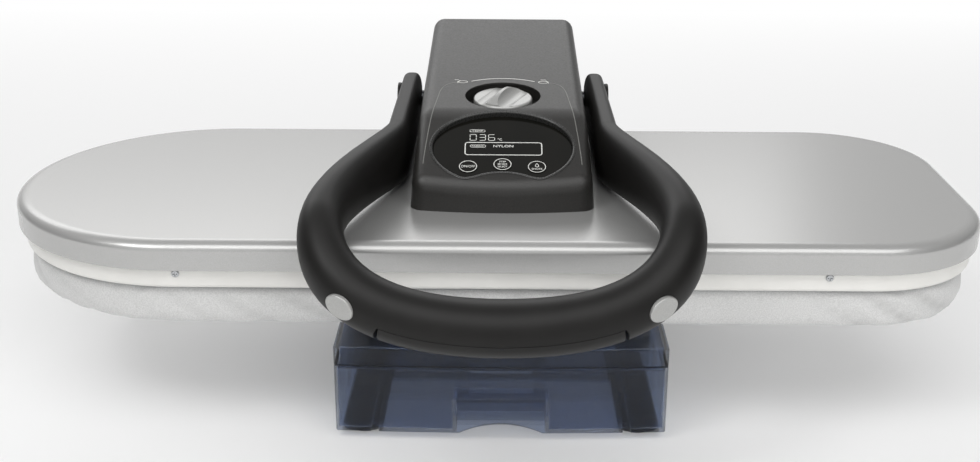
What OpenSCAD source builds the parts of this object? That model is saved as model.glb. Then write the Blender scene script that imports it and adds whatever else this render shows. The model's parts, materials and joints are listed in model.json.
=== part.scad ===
// Steam ironing press with a padded board, a hinged heated plate, a looped handle and a water tank.
// Millimetres. The front is -Y, up is +Z, and the part stands on Z = 0 centred on its own box.

/* [Heated plate and its cover] */
// Overall length of the silver cover
cover_len = 660; // [600:5:700]
// Overall depth of the silver cover
cover_depth = 263; // [250:1:275]
// Reach of the rounded nose, left of the housing's centre line
nose_reach = 339; // [320:1:350]
// Corner radius at the squared end of the cover
tail_corner_r = 85; // [60:1:110]
// Height of the cover's side
cover_side_h = 18.5; // [16:0.5:22]
// Rounding of the cover's rim
cover_edge_r = 8; // [4:0.5:9]
// Sheet thickness of the cover
cover_wall = 1.8; // [1.2:0.1:2.5]
// How far the white skirt stands back from the cover
skirt_inset = 4; // [3:0.5:7]
// Height of the skirt that shows below the cover
skirt_show = 13.5; // [10:0.5:18]
// Wall of the skirt
skirt_wall = 2.5; // [1.5:0.1:3.5]
// Thickness of the heating plate
sole_t = 7; // [5:0.5:9]
// Radius of a steam hole
steam_hole_r = 1.8; // [1:0.1:2.5]
// Distance between steam holes
steam_pitch = 36; // [30:1:50]

/* [Ironing board] */
// How far the padded board stands back from the cover's outline
pad_inset = 8; // [6:0.5:12]
// Height of the padded board with its fabric
pad_h = 23.6; // [20:0.2:28]
// Thickness of the fabric cover
fabric_t = 1.2; // [0.8:0.1:2]
// Depth of the steel board pan
pan_h = 11; // [8:0.5:13]
// Gap between the closed plate and the pad
closed_gap = 0.4; // [0.3:0.05:0.8]

/* [Base] */
// Height of the rubber feet below the base
foot_h = 2.5; // [2:0.1:4]
// Width of the base
base_w = 224; // [200:2:240]
// Height of the base housing
base_h = 72.5; // [71:0.5:80]
// Front wall of the base, behind the machine's middle line
base_front = 28; // [20:1:34]
// Rear wall of the base, behind the machine's middle line
base_back = 198; // [197:1:210]
// Wall of the base housing
base_wall = 2.5; // [2:0.1:3.5]
// Outer face of the two front legs, from the centre line
leg_out = 84; // [70:1:95]
// Inner face of the two front legs, from the centre line
leg_in = 22; // [16:1:30]
// Height of the brackets between base and board
bracket_h = 5; // [4:0.5:8]
// Distance of the cord gland from the centre line
gland_x = 70; // [60:1:76]
// Bore radius of the cord gland
gland_bore_r = 3.75; // [3:0.05:4.5]

/* [Water tank] */
// Width of the water tank
tank_w = 215; // [190:1:222]
// Depth of the water tank
tank_d = 81; // [70:1:84]
// Height of the water tank with its lid
tank_h = 59.7; // [50:0.5:61]
// Height of the tank's lid
tank_lid_h = 13; // [10:0.5:18]
// Wall of the tank
tank_wall = 2; // [1.5:0.1:3]
// Forward bow of the tank's front
tank_bow = 3; // [2:0.5:5]
// Width of the finger recess
recess_w = 58; // [48:1:70]
// Height of the finger recess
recess_h = 21.5; // [18:0.5:32]
// Depth of the finger recess, from the tank's front
recess_d = 17.5; // [12:0.5:20]

/* [Housing] */
// Half width of the housing at its foot
shell_half_w = 61.5; // [59:0.5:61.5]
// Front of the housing, ahead of the machine's middle line
shell_front = 66.5; // [60:0.5:72]
// Rear of the housing, behind the machine's middle line
shell_back = 180; // [178:1:186]
// Height of the front lip above the cover
lip_h = 23; // [20:0.5:28]
// Height of the brow where the sloping panel ends, above the cover
brow_h = 50; // [46:0.5:54]
// Height of the housing's rear above the cover
rear_h = 80; // [74:0.5:84]
// Wall of the housing
shell_wall = 2.5; // [2:0.1:3]
// Forward bow of the housing's nose
nose_bow = 6; // [3:0.5:8]
// Half length of the oval panel
panel_a = 47.5; // [44:0.5:48]
// Height of the oval panel above its widest line
panel_up = 36; // [28:0.5:36]
// Depth of the oval panel below its widest line
panel_down = 37; // [34:0.5:37]
// Radius of the temperature dial
dial_r = 21; // [17:0.5:23]
// Half width of the oval well around the dial
well_a = 27; // [24:0.5:28]
// Half depth of the oval well around the dial
well_b = 23; // [22.5:0.5:24]
// Radius of a panel button
button_r = 6.2; // [5:0.1:6.4]
// Distance between panel buttons
button_pitch = 23; // [18:0.5:25]

/* [Handle and hinge] */
// Distance of the handle's arms from the centre line
arm_x = 71.4; // [71:0.2:74]
// Width of a handle arm
arm_w = 15.8; // [12:0.2:15.8]
// Height of a handle arm
arm_h = 44; // [36:1:44]
// Reach of the grip's middle, ahead of the machine's middle line
grip_reach = 204.3; // [195:0.5:215]
// Depth of the grip, front to back
grip_w = 37.9; // [30:0.2:40]
// Height of the grip
grip_h = 32.8; // [28:0.2:36]
// Radius of the handle's cross shaft
shaft_r = 6; // [5:0.1:7]
// Radius of the hinge pins
hinge_pin_r = 5; // [4:0.1:6]
// Running clearance of a pin in its bore
run_gap = 0.05; // [0.02:0.01:0.1]
// Length of a steam button along the grip
steam_button_len = 19; // [16:0.5:22]
// Width of a steam button
steam_button_w = 14; // [11:0.5:16]

/* [Hidden] */

// Levels above the floor
deck_z = foot_h + base_h;
pan_z = deck_z + bracket_h;
hem_drop = 2;
pad_z = pan_z - hem_drop;
pad_top = pad_z + pad_h;
sole_z = pad_top + closed_gap;
cover_z = sole_z + skirt_show;
cover_top = cover_z + cover_side_h;
base_sheet = 2;
seat_z = cover_top + base_sheet;

// Plan of the cover: a round nose, a straight body and a tail with round corners
nose_r = cover_depth / 2;
nose_cx = nose_r - nose_reach;
tail_reach = cover_len - nose_reach;
tail_cx = tail_reach - tail_corner_r;
tail_cy = nose_r - tail_corner_r;
skirt_in = skirt_inset + skirt_wall;
sole_inset = skirt_in + 0.2;
pan_inset = pad_inset + fabric_t + 0.3;
pad_top_r = 6;
pad_hem_r = 8;
pan_r = 6;
hem_w = 24;
bracket_y = [-8, 82];
bracket_half = 185;
bracket_x = 90;

// Hinge, shaft and link pivots, as depth and height
hinge = [nose_r + 33.5, cover_top - 18];
shaft = [nose_r - 13.5, cover_top + 28];
anchor = [hinge[0] + 7, hinge[1] - 18];
crank_len = 21.44;
crank_angle = -32.2;
crank_eye = shaft + crank_len * [cos(crank_angle), sin(crank_angle)];
link_pin_r = 4;
link_half_t = 6.5;
link_eye_r = 8;
link_play = 0.5;

// Hinge tower
ear_x = 7.5;
ear_t = 3;
cheek_x = 34;
cheek_t = 4;
tower_flange_t = 3;
plate_z = foot_h;
plate_t = 1.5;
tower_z = plate_z + plate_t;
tower_y0 = hinge[0] - 25;
tower_y1 = hinge[0] + 27;
pin_head_t = 2.5;
shroud_x = cheek_x + cheek_t + pin_head_t + 1;
shroud_wall = 2;
boss_r = 13;
flange_x = shroud_x + 9.5;
bolt_x = flange_x - 6;
bolt_y = [tower_y0 + 8, tower_y1 - 8];
foot_back = 32;

// Arm of the pressing head
rib_x = 16;
rib_t = 4;
rib_boss_t = 6;
rib_front = 40;
rib_h = 14;
bush_wall = 2;

// Front legs and tank bay
leg_front = base_front + 22;
shelf_t = 2;
shelf_front = base_front + 101;
shelf_half_w = 104;
tank_gap = 0.3;
tank_z = foot_h + shelf_t + tank_gap;
tank_back = leg_front + 2.5;
tank_front = tank_back + tank_d;
tank_top = tank_z + tank_h;
lid_z = tank_top - tank_lid_h;
bow_r = (tank_w * tank_w / 4 + tank_bow * tank_bow) / (2 * tank_bow);
runner_in = 77;
guide_x = runner_in + 3;
guide_w = 4;
guide_h = 1.8;
arch_rise = 6.5;
arch_w = recess_w - 4;
arch_r = (arch_w * arch_w / 4 + arch_rise * arch_rise) / (2 * arch_rise);
valve_x = -53;
valve_z = tank_z + 15;
valve_r = 5.4;
cap_x = 55;
cap_y = -(tank_back + 22);
cap_r = 17;
fill_r = 14;

// Sloping panel and top of the housing, as depth and height
lip = [-shell_front + 3.5, cover_top + lip_h];
brow = [-3, cover_top + brow_h];
rear = [shell_back - 4, cover_top + rear_h];
slope = atan2(brow[1] - lip[1], brow[0] - lip[0]);
roof = atan2(rear[1] - brow[1], rear[0] - brow[0]);
panel_s = 29.5;
notch_top = 4.7 - panel_s;
notch_r = 42;
glass_tilt = 2.6;
glass_pivot = 30;
panel_c = lip + panel_s * [cos(slope), sin(slope)];
dial_c = brow + (well_b + 5.2) * [cos(roof), sin(roof)];
dial_tilt = 4.3;
shell_r = 8;
side_draft = 0.07;
bezel_t = 0.4;
window_t = 1.6;
window_drop = 0.6;
board_drop = 10;
board_t = 1.6;
button_s = [-19.8, -17.3, -19.8];
button_gap = 0.3;
button_proud = 0.6;
switch_h = 0.9;
button_stroke = 0.8;
well_depth = 9.5;
well_floor = 2;
encoder_shaft_r = 3;
encoder_drop = 0.7;
dial_turn = 66;

// Handle path: arm, neck and grip, given for the left half
arm_end = [-arm_x, shaft[0], shaft[1] - 1.7];
arm_front = [-arm_x - 1.7, -4.8, cover_top + 23.6];
wide_pt = [-108.7, -nose_r - 15.6, cover_top + 19.5];
grip_pt = [0, -grip_reach, cover_top - 22.9];
wide_dir = [0, -0.984, -0.177];
neck_lead = 24;
neck_tail = 46.5;
grip_lead = 28;
grip_tail = 103;
arm_round = 16;
wide_w = 26.4;
wide_h = 34.4;
grip_roll = 6.4;
section_points = 24;
seam_gap = 0.15;
seam_v = -1.5;
grip_from = 2.72;
steam_u = 2.585;
steam_tilt = 2;
steam_proud = 1.2;
steam_depth = 9;
steam_stroke = 2;
steam_gap = 0.3;

// The finished part is centred on its own box
handle_front = grip_reach
    + sqrt(pow(grip_w / 2 * cos(grip_roll), 2) + pow(grip_h / 2 * sin(grip_roll), 2));
gland_out = 7;
gland_z = 30;
shift_x = (nose_reach - tail_reach) / 2;
shift_y = (handle_front - base_back - gland_out) / 2;

// Straight cylinders along each axis, and a box and a rounded box between corners
module xcyl(r, x0, x1, y, z) {
    translate([x0, y, z]) rotate([0, 90, 0]) cylinder(h = x1 - x0, r = r, $fn = 48);
}
module ycyl(r, y0, y1, x, z) {
    translate([x, y0, z]) rotate([-90, 0, 0]) cylinder(h = y1 - y0, r = r, $fn = 48);
}
module zcyl(r, z0, z1, x, y) {
    translate([x, y, z0]) cylinder(h = z1 - z0, r = r, $fn = 48);
}
module block(a, b) {
    translate(a) cube(b - a);
}
module round_rect(x0, x1, y0, y1, r) {
    translate([x0 + r, y0]) square([x1 - x0 - 2 * r, y1 - y0]);
    translate([x0, y0 + r]) square([x1 - x0, y1 - y0 - 2 * r]);
    for (x = [x0 + r, x1 - r]) for (y = [y0 + r, y1 - r]) translate([x, y]) circle(r, $fn = 48);
}
module round_block(x0, x1, y0, y1, z0, z1, r) {
    translate([0, 0, z0]) linear_extrude(z1 - z0) round_rect(x0, x1, y0, y1, r);
}
// A plate in the depth and height plane, with its thickness along the machine
module side_plate(x0, x1) {
    translate([x0, 0, 0]) rotate([90, 0, 90]) linear_extrude(x1 - x0) children();
}
module both_sides() {
    children();
    mirror([1, 0, 0]) children();
}

// Rounded profile of a plate: a straight foot, and arcs at its outer top and bottom corners
function arc_pts(cx, cy, r, a0, a1, n = 6) =
    [for (k = [0:n]) [cx + r * cos(a0 + (a1 - a0) * k / n), cy + r * sin(a0 + (a1 - a0) * k / n)]];
function rim_pts(l, z0, z1, rt, rb) = concat(
    rb > 0 ? arc_pts(l - rb, z0 + rb, rb, -90, 0) : [[l, z0]],
    rt > 0 ? arc_pts(l - rt, z1 - rt, rt, 0, 90) : [[l, z1]]);
function half_profile(l, z0, z1, rt, rb) = concat([[0, z0]], rim_pts(l, z0, z1, rt, rb), [[0, z1]]);
function mirrored(p) = [for (k = [len(p) - 1:-1:0]) [-p[k][0], p[k][1]]];
function full_profile(l, z0, z1, rt, rb) =
    concat(rim_pts(l, z0, z1, rt, rb), mirrored(rim_pts(l, z0, z1, rt, rb)));

// A plate with the cover's plan, drawn in by an inset, with rounded rims
module platen(i, z0, z1, rt = 0, rb = 0) {
    translate([nose_cx, 0, 0]) rotate([0, 0, 90])
        rotate_extrude(angle = 180, $fn = 128) polygon(half_profile(nose_r - i, z0, z1, rt, rb));
    translate([nose_cx, 0, 0]) rotate([90, 0, 90])
        linear_extrude(tail_cx - nose_cx) polygon(full_profile(nose_r - i, z0, z1, rt, rb));
    for (s = [0, 1]) mirror([0, s, 0]) translate([tail_cx, tail_cy, 0])
        rotate_extrude(angle = 90, $fn = 96) polygon(half_profile(tail_corner_r - i, z0, z1, rt, rb));
    translate([tail_cx, tail_cy, 0]) rotate([90, 0, 0])
        linear_extrude(2 * tail_cy) polygon(half_profile(tail_corner_r - i, z0, z1, rt, rb));
}

// An egg-shaped oval, and the panel's outline: the oval with its foot bowed up between the outer buttons
function oval(a, up, down, n = 64) =
    [for (k = [0:n - 1]) [a * cos(360 * k / n), (k < n / 2 ? up : down) * sin(360 * k / n)]];
module panel_outline(g) {
    difference() {
        polygon(oval(panel_a + g, panel_up + g, panel_down + g));
        translate([0, notch_top - notch_r]) circle(notch_r - g, $fn = 96);
    }
}
module on_panel() {
    translate([0, panel_c[0], panel_c[1]]) rotate([slope, 0, 0]) children();
}
// The glass lies a little flatter than the panel, so that it sinks towards its top
module on_glass() {
    on_panel() translate([0, -glass_pivot, -window_drop]) rotate([-glass_tilt, 0, 0])
        translate([0, glass_pivot, 0]) children();
}
// The well is square to the roof, and the dial in it lies a little flatter
module on_roof() {
    translate([0, dial_c[0], dial_c[1]]) rotate([roof, 0, 0]) children();
}
module on_dial() {
    on_roof() rotate([-dial_tilt, 0, 0]) children();
}
module well_oval(g, z0, z1) {
    translate([0, 0, z0]) linear_extrude(z1 - z0) polygon(oval(well_a + g, well_b + g, well_b + g, 72));
}

// Base
module base_block(i, z0, z1) {
    w = base_w / 2 - i;
    round_block(-w, w, -base_front + i, base_back - i, z0, z1, 10 - i);
    both_sides() block([leg_in + i, -leg_front + i, z0], [leg_out - i, -base_front + base_wall + i, z1]);
}
screw_x = base_w / 2 - 20;
screw_y = [28 - base_front, 92, base_back - 11];
module screw_spots() {
    for (x = [-screw_x, screw_x]) for (y = screw_y) translate([x, y, 0]) children();
}
module base_housing() {
    color("#3c3d40") difference() {
        union() {
            difference() {
                base_block(0, foot_h, deck_z);
                base_block(base_wall, foot_h - 1, deck_z - base_wall);
            }
            translate([0, 0, tower_z]) screw_spots() cylinder(h = deck_z - tower_z - 0.5, r = 4, $fn = 32);
            both_sides() round_block(runner_in, shelf_half_w, -shelf_front, -base_front + 1,
                foot_h, foot_h + shelf_t, 8);
            block([-runner_in - 1, -leg_front - 8, foot_h], [runner_in + 1, -leg_front + 1, foot_h + shelf_t]);
            both_sides() block([guide_x, -shelf_front + 10, foot_h + shelf_t - 0.5],
                [guide_x + guide_w, -leg_front + 1, foot_h + shelf_t + guide_h]);
        }
        translate([0, 0, foot_h - 1]) screw_spots() cylinder(h = tower_z - foot_h + 1, r = 5, $fn = 32);
        translate([0, 0, tower_z - 1]) screw_spots() cylinder(h = 12, r = 1.5, $fn = 24);
        block([-shroud_x + shroud_wall, tower_y0 - 1, deck_z - base_wall - 1],
            [shroud_x - shroud_wall, tower_y1 + 1, deck_z + 1]);
        ycyl(10.05, -leg_front - 1, -leg_front + base_wall + 1, valve_x, valve_z);
        ycyl(8.05, base_back - base_wall - 1, base_back + 1, gland_x, gland_z);
        for (x = [-60:12:48]) block([x, base_back - base_wall - 1, 20], [x + 3.5, base_back + 1, 44]);
        both_sides() zcyl(4.02, foot_h - 1, foot_h + shelf_t + 1, shelf_half_w - 14, -shelf_front + 14);
        for (x = [-bracket_x, bracket_x]) for (y = bracket_y)
            zcyl(2.1, deck_z - base_wall - 1, deck_z + 1, x, y);
    }
}
module base_plate() {
    w = base_w / 2 - base_wall - 0.3;
    color("#8d9094") difference() {
        round_block(-w, w, -base_front + base_wall + 0.3, base_back - base_wall - 0.3, plate_z, tower_z, 7);
        translate([0, 0, plate_z - 1]) screw_spots() cylinder(h = 4, r = 2.1, $fn = 32);
        both_sides() for (y = bolt_y) zcyl(2.6, plate_z - 1, tower_z + 1, bolt_x, y);
        both_sides() zcyl(4.02, plate_z - 1, tower_z + 1, screw_x, base_back - foot_back);
    }
}
module rubber_foot(x, y, spigot) {
    zcyl(11, 0, foot_h, x, y);
    zcyl(4, foot_h - 0.5, foot_h + spigot, x, y);
}
module rubber_feet() {
    color("#242424") {
        for (s = [-1, 1]) rubber_foot(s * (shelf_half_w - 14), -shelf_front + 14, shelf_t - 0.2);
        for (s = [-1, 1]) rubber_foot(s * screw_x, base_back - foot_back, plate_t - 0.2);
    }
}
module base_screws() {
    color("#9a9da0") translate([0, 0, plate_z]) screw_spots() {
        translate([0, 0, -1.6]) cylinder(h = 1.6, r = 3.4, $fn = 32);
        translate([0, 0, -0.5]) cylinder(h = 10, r = 1.48, $fn = 24);
    }
}
module hinge_tower() {
    color("#a3a7ab") difference() {
        union() {
            block([-flange_x, tower_y0, tower_z], [flange_x, tower_y1, tower_z + tower_flange_t]);
            both_sides() side_plate(cheek_x, cheek_x + cheek_t) {
                polygon([[tower_y0 + 3, tower_z], [tower_y1 - 2, tower_z],
                    [hinge[0] + boss_r, hinge[1]], [hinge[0] - boss_r, hinge[1]]]);
                translate(hinge) circle(boss_r, $fn = 64);
            }
            both_sides() side_plate(ear_x, ear_x + ear_t) {
                polygon([[anchor[0] - 22, tower_z], [tower_y1 - 2, tower_z],
                    [anchor[0] + 9, anchor[1]], [anchor[0] - 9, anchor[1]]]);
                translate(anchor) circle(9, $fn = 48);
            }
            block([-cheek_x - 1, tower_y1 - 5, tower_z], [cheek_x + 1, tower_y1 - 2, deck_z - 8]);
        }
        both_sides() xcyl(hinge_pin_r + 0.02, cheek_x - 1, cheek_x + cheek_t + 1, hinge[0], hinge[1]);
        xcyl(link_pin_r + 0.02, -ear_x - ear_t - 1, ear_x + ear_t + 1, anchor[0], anchor[1]);
        both_sides() for (y = bolt_y) zcyl(2.6, tower_z - 1, tower_z + 4, bolt_x, y);
    }
}
module tower_cover() {
    side = [[tower_y0 - 2, deck_z], [tower_y1 + 2, deck_z], [tower_y1 + 2, hinge[1] - 4],
        [hinge[0] + 20, hinge[1]], [hinge[0] - 20, hinge[1]], [tower_y0 - 2, deck_z + 22]];
    color("#3c3d40") {
        both_sides() side_plate(shroud_x, shroud_x + shroud_wall) {
            polygon(side);
            translate(hinge) circle(20, $fn = 64);
        }
        block([-shroud_x - 1, tower_y0 - 2, deck_z], [shroud_x + 1, tower_y0, deck_z + 22]);
        block([-shroud_x - 1, tower_y1, deck_z], [shroud_x + 1, tower_y1 + 2, hinge[1] - 4]);
    }
}
module tower_bolts() {
    color("#9a9da0") both_sides() for (y = bolt_y) {
        zcyl(2.5, plate_z, tower_z + tower_flange_t + 1, bolt_x, y);
        translate([bolt_x, y, tower_z + tower_flange_t]) cylinder(h = 3.5, r = 4.6, $fn = 6);
    }
}
module hinge_pins() {
    color("#b9bcbf") both_sides() {
        xcyl(hinge_pin_r, rib_x - 3, cheek_x + cheek_t + 1, hinge[0], hinge[1]);
        xcyl(hinge_pin_r + 2.5, cheek_x + cheek_t, cheek_x + cheek_t + pin_head_t, hinge[0], hinge[1]);
    }
}
module pin_clips() {
    color("#8d9094") both_sides() difference() {
        xcyl(hinge_pin_r + 2.6, rib_x - 1.5, rib_x - 0.5, hinge[0], hinge[1]);
        xcyl(hinge_pin_r + 0.02, rib_x - 3, rib_x + 1, hinge[0], hinge[1]);
    }
}

// A round wire swept along points, as one closed tube with flat ends
function unit(v) = v / norm(v);
function run_dir(p, k) = unit(p[min(k + 1, len(p) - 1)] - p[max(k - 1, 0)]);
function ring_at(p, k, r, n, up) =
    let (t = run_dir(p, k), a = unit(cross(t, up)), b = cross(a, t))
    [for (j = [0:n - 1]) p[k] + r * cos(360 * j / n) * a + r * sin(360 * j / n) * b];
function tube_faces(m, n) = concat(
    [[for (j = [n - 1:-1:0]) j]],
    [for (k = [0:m - 2]) for (j = [0:n - 1]) [k * n + j, k * n + (j + 1) % n, (k + 1) * n + (j + 1) % n]],
    [for (k = [0:m - 2]) for (j = [0:n - 1]) [k * n + j, (k + 1) * n + (j + 1) % n, (k + 1) * n + j]],
    [[for (j = [0:n - 1]) (m - 1) * n + j]]);
module wire(p, r, n, up) {
    polyhedron([for (k = [0:len(p) - 1]) each ring_at(p, k, r, n, up)], tube_faces(len(p), n));
}
// A hose between two points, leaving and arriving along given directions
module hose(a, da, b, db, lead) {
    path = [for (k = [0:10]) bezier(a, a + da * lead, b - db * lead, b, k / 10)];
    wire(path, hose_r, 10, [1, 0, 0]);
}
hose_r = 4.5;
spring_wire = 1.2;
spring_r = hinge_pin_r + 2.6;
spring_turns = 2.5;
spring_pitch = 2.9;
spring_x = cheek_x - 0.3 - spring_wire - spring_turns * spring_pitch;
spring_leg = 14;
spring_path = concat(
    [[spring_x, hinge[0] - spring_r, hinge[1] - spring_leg]],
    [for (k = [0:40]) let (a = 180 - 360 * spring_turns * k / 40)
        [spring_x + spring_pitch * spring_turns * k / 40,
            hinge[0] + spring_r * cos(a), hinge[1] + spring_r * sin(a)]],
    [[spring_x + spring_pitch * spring_turns, hinge[0] + spring_r, hinge[1] - spring_leg]]);
module hinge_springs() {
    color("#8d9094") both_sides() wire(spring_path, spring_wire, 8, [1, 0, 0]);
}
module link_pin() {
    color("#b9bcbf") xcyl(link_pin_r, -ear_x - ear_t - 1.5, ear_x + ear_t + 1.5, anchor[0], anchor[1]);
}

// Padded board
module board_brackets() {
    color("#8d9094") for (y = bracket_y) difference() {
        round_block(-bracket_half, bracket_half, y - 13, y + 13, deck_z, pan_z, 6);
        for (x = [-bracket_x, bracket_x]) zcyl(2.1, deck_z - 1, pan_z + 1, x, y);
    }
}
module board_screws() {
    color("#9a9da0") for (x = [-bracket_x, bracket_x]) for (y = bracket_y) {
        zcyl(2, deck_z - base_wall - 1, pan_z + 3, x, y);
        zcyl(3.8, pan_z + base_sheet - 0.5, pan_z + 4, x, y);
    }
}
pan_sheet = 1.5;
module board_pan() {
    color("#a3a7ab") difference() {
        platen(pan_inset, pan_z, pan_z + pan_h, 0, pan_r);
        platen(pan_inset + pan_sheet, pan_z + pan_sheet, pan_z + pan_h + 1, 0, pan_r - pan_sheet);
        for (x = [-6:6]) for (y = [-2:2]) zcyl(4, pan_z - 1, pan_z + 3, x * 38 - 4, y * 38 + 24);
        for (x = [-bracket_x, bracket_x]) for (y = bracket_y) zcyl(2.1, pan_z - 1, pan_z + 3, x, y);
    }
}
module foam_pad() {
    color("#e6d9a8") difference() {
        platen(pan_inset + pan_sheet + 0.3, pan_z + 5, pad_top - fabric_t - 0.3, 4);
        platen(pan_inset + pan_sheet + 14, pan_z + 4, pan_z + pan_h - 1);
    }
    color("#e6d9a8") difference() {
        platen(pan_inset + pan_sheet + 10, pan_z + 4.5, pan_z + pan_h - 0.5);
        for (x = [-bracket_x, bracket_x]) for (y = bracket_y) zcyl(5, pan_z + 4, pan_z + 6, x, y);
    }
}
module pad_cover() {
    color("#d3d4d3") difference() {
        platen(pad_inset, pad_z, pad_top, pad_top_r, pad_hem_r);
        platen(pad_inset + fabric_t, pad_z + fabric_t, pad_top - fabric_t,
            pad_top_r - fabric_t, pad_hem_r - fabric_t);
        platen(pad_inset + hem_w, pad_z - 1, pad_z + fabric_t + 1);
    }
}

// Pump and water path in the base
pump = [-53, 40, 30];
module steam_pump() {
    color("#d9d9d4") {
        block(pump - [16, 22, 15], pump + [16, 22, 15]);
        ycyl(9, pump[1] - 40, pump[1] - 21, pump[0], pump[2]);
        ycyl(6, pump[1] + 21, pump[1] + 36, pump[0], pump[2]);
    }
}
module pump_mounts() {
    color("#242424") for (s = [-1, 1]) zcyl(7, tower_z, pump[2] - 15, pump[0], pump[1] + s * 14);
}
socket_front = leg_front + 1.8;
module tank_socket() {
    color("#2c2d2f") difference() {
        union() {
            ycyl(10, -socket_front, -socket_front + 14, valve_x, valve_z);
            ycyl(13, -leg_front + base_wall, -leg_front + base_wall + 3, valve_x, valve_z);
        }
        ycyl(6, -socket_front - 1, -socket_front + 10, valve_x, valve_z);
        ycyl(hose_r + 0.3, -socket_front + 9, -socket_front + 15, valve_x, valve_z);
        ycyl(8.03, -socket_front - 1, -socket_front + 3.5, valve_x, valve_z);
    }
}
module socket_seal() {
    color("#242424") difference() {
        ycyl(8, -socket_front + 0.3, -socket_front + 3.5, valve_x, valve_z);
        ycyl(valve_r + 0.2, -socket_front - 1, -socket_front + 5, valve_x, valve_z);
    }
}
module feed_hose() {
    color("#c9cdca") {
        hose([valve_x, -socket_front + 11, valve_z], [0, 1, 0],
            [pump[0], pump[1] - 40.4, pump[2]], [0, 1, 0], 12);
        hose([pump[0], pump[1] + 36.4, pump[2]], [0, 1, 0], [-24, tower_y0 + 10, 86], [0, 0, 1], 36);
    }
}
module terminal_block() {
    color("#e4e2da") difference() {
        block([gland_x - 10, base_back - 58, tower_z], [gland_x + 30, base_back - 38, tower_z + 16]);
        for (x = [-2:8:22]) zcyl(2.4, tower_z + 8, tower_z + 20, gland_x + x, base_back - 48);
    }
}
module cord_gland() {
    color("#242424") difference() {
        union() {
            ycyl(8, base_back - 10, base_back + gland_out, gland_x, gland_z);
            ycyl(11, base_back, base_back + 3, gland_x, gland_z);
            ycyl(10.5, base_back - base_wall - 4, base_back - base_wall, gland_x, gland_z);
        }
        ycyl(gland_bore_r, base_back - 11, base_back + gland_out + 1, gland_x, gland_z);
    }
}

// Water tank
module tank_plan(i) {
    intersection() {
        round_rect(-tank_w / 2 + i, tank_w / 2 - i, -tank_front - tank_bow + i, -tank_back - i, 6 - i);
        translate([0, bow_r - tank_front - tank_bow]) circle(bow_r - i, $fn = 720);
    }
}
module tank_block(i, z0, z1) {
    translate([0, 0, z0]) linear_extrude(z1 - z0) tank_plan(i);
}
module finger_recess(g) {
    w = recess_w / 2 + g;
    // the outer form starts ahead of the tank, the inner one behind the tank's front wall
    y0 = g > 0 ? -tank_front - 10 : -tank_front - tank_bow + tank_wall + 0.5;
    block([-w, y0, tank_z - 1], [w, -tank_front - tank_bow + recess_d + g, tank_z + recess_h + g]);
}
module finger_arch() {
    ycyl(arch_r, -tank_front - 10, -tank_front - tank_bow + tank_wall + 2, 0, tank_z + arch_rise - arch_r);
}
module tank_body() {
    color("#26364e", 0.6) difference() {
        union() {
            difference() {
                tank_block(0, tank_z, lid_z);
                tank_block(tank_wall, tank_z + tank_wall, lid_z + 1);
            }
            intersection() {
                tank_block(0, tank_z, lid_z - 2);
                finger_recess(tank_wall);
            }
            both_sides() block([guide_x - 2.3, -tank_front + 5, tank_z],
                [guide_x + guide_w + 2.3, -tank_back - 1, tank_z + guide_h + 2.5]);
        }
        finger_recess(0);
        finger_arch();
        both_sides() block([guide_x - 0.4, -tank_front - 9, tank_z - 1],
            [guide_x + guide_w + 0.4, -tank_back + 1, tank_z + guide_h + 0.4]);
        ycyl(valve_r + 0.02, -tank_back - 3, -tank_back + 1, valve_x, valve_z);
    }
}
module tank_lid() {
    color("#26364e", 0.6) difference() {
        union() {
            tank_block(0, lid_z + 0.3, tank_top);
            tank_block(tank_wall + 0.2, lid_z - 3, lid_z + 1);
        }
        tank_block(tank_wall + 1.8, lid_z - 4, tank_top - tank_wall);
        zcyl(fill_r, tank_top - tank_wall - 1, tank_top + 1, cap_x, cap_y);
    }
}
module lid_seal() {
    color("#242424") difference() {
        tank_block(0.4, lid_z, lid_z + 0.3);
        tank_block(tank_wall + 0.2, lid_z - 1, lid_z + 1);
    }
}
module tank_valve() {
    color("#2c2d2f") difference() {
        union() {
            ycyl(valve_r, -tank_back - tank_wall - 3, -tank_back + 9, valve_x, valve_z);
            ycyl(8.5, -tank_back - tank_wall - 3, -tank_back - tank_wall, valve_x, valve_z);
        }
        ycyl(2.5, -tank_back - tank_wall - 4, -tank_back + 10, valve_x, valve_z);
    }
}
module filler_cap() {
    color("#2c2d2f") {
        zcyl(fill_r - 0.3, tank_top - 4, tank_top + 1, cap_x, cap_y);
        zcyl(cap_r, tank_top + 0.1, tank_top + 3, cap_x, cap_y);
        block([cap_x - 12, cap_y - 1.5, tank_top + 2], [cap_x + 12, cap_y + 1.5, tank_top + 4.5]);
    }
}

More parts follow.
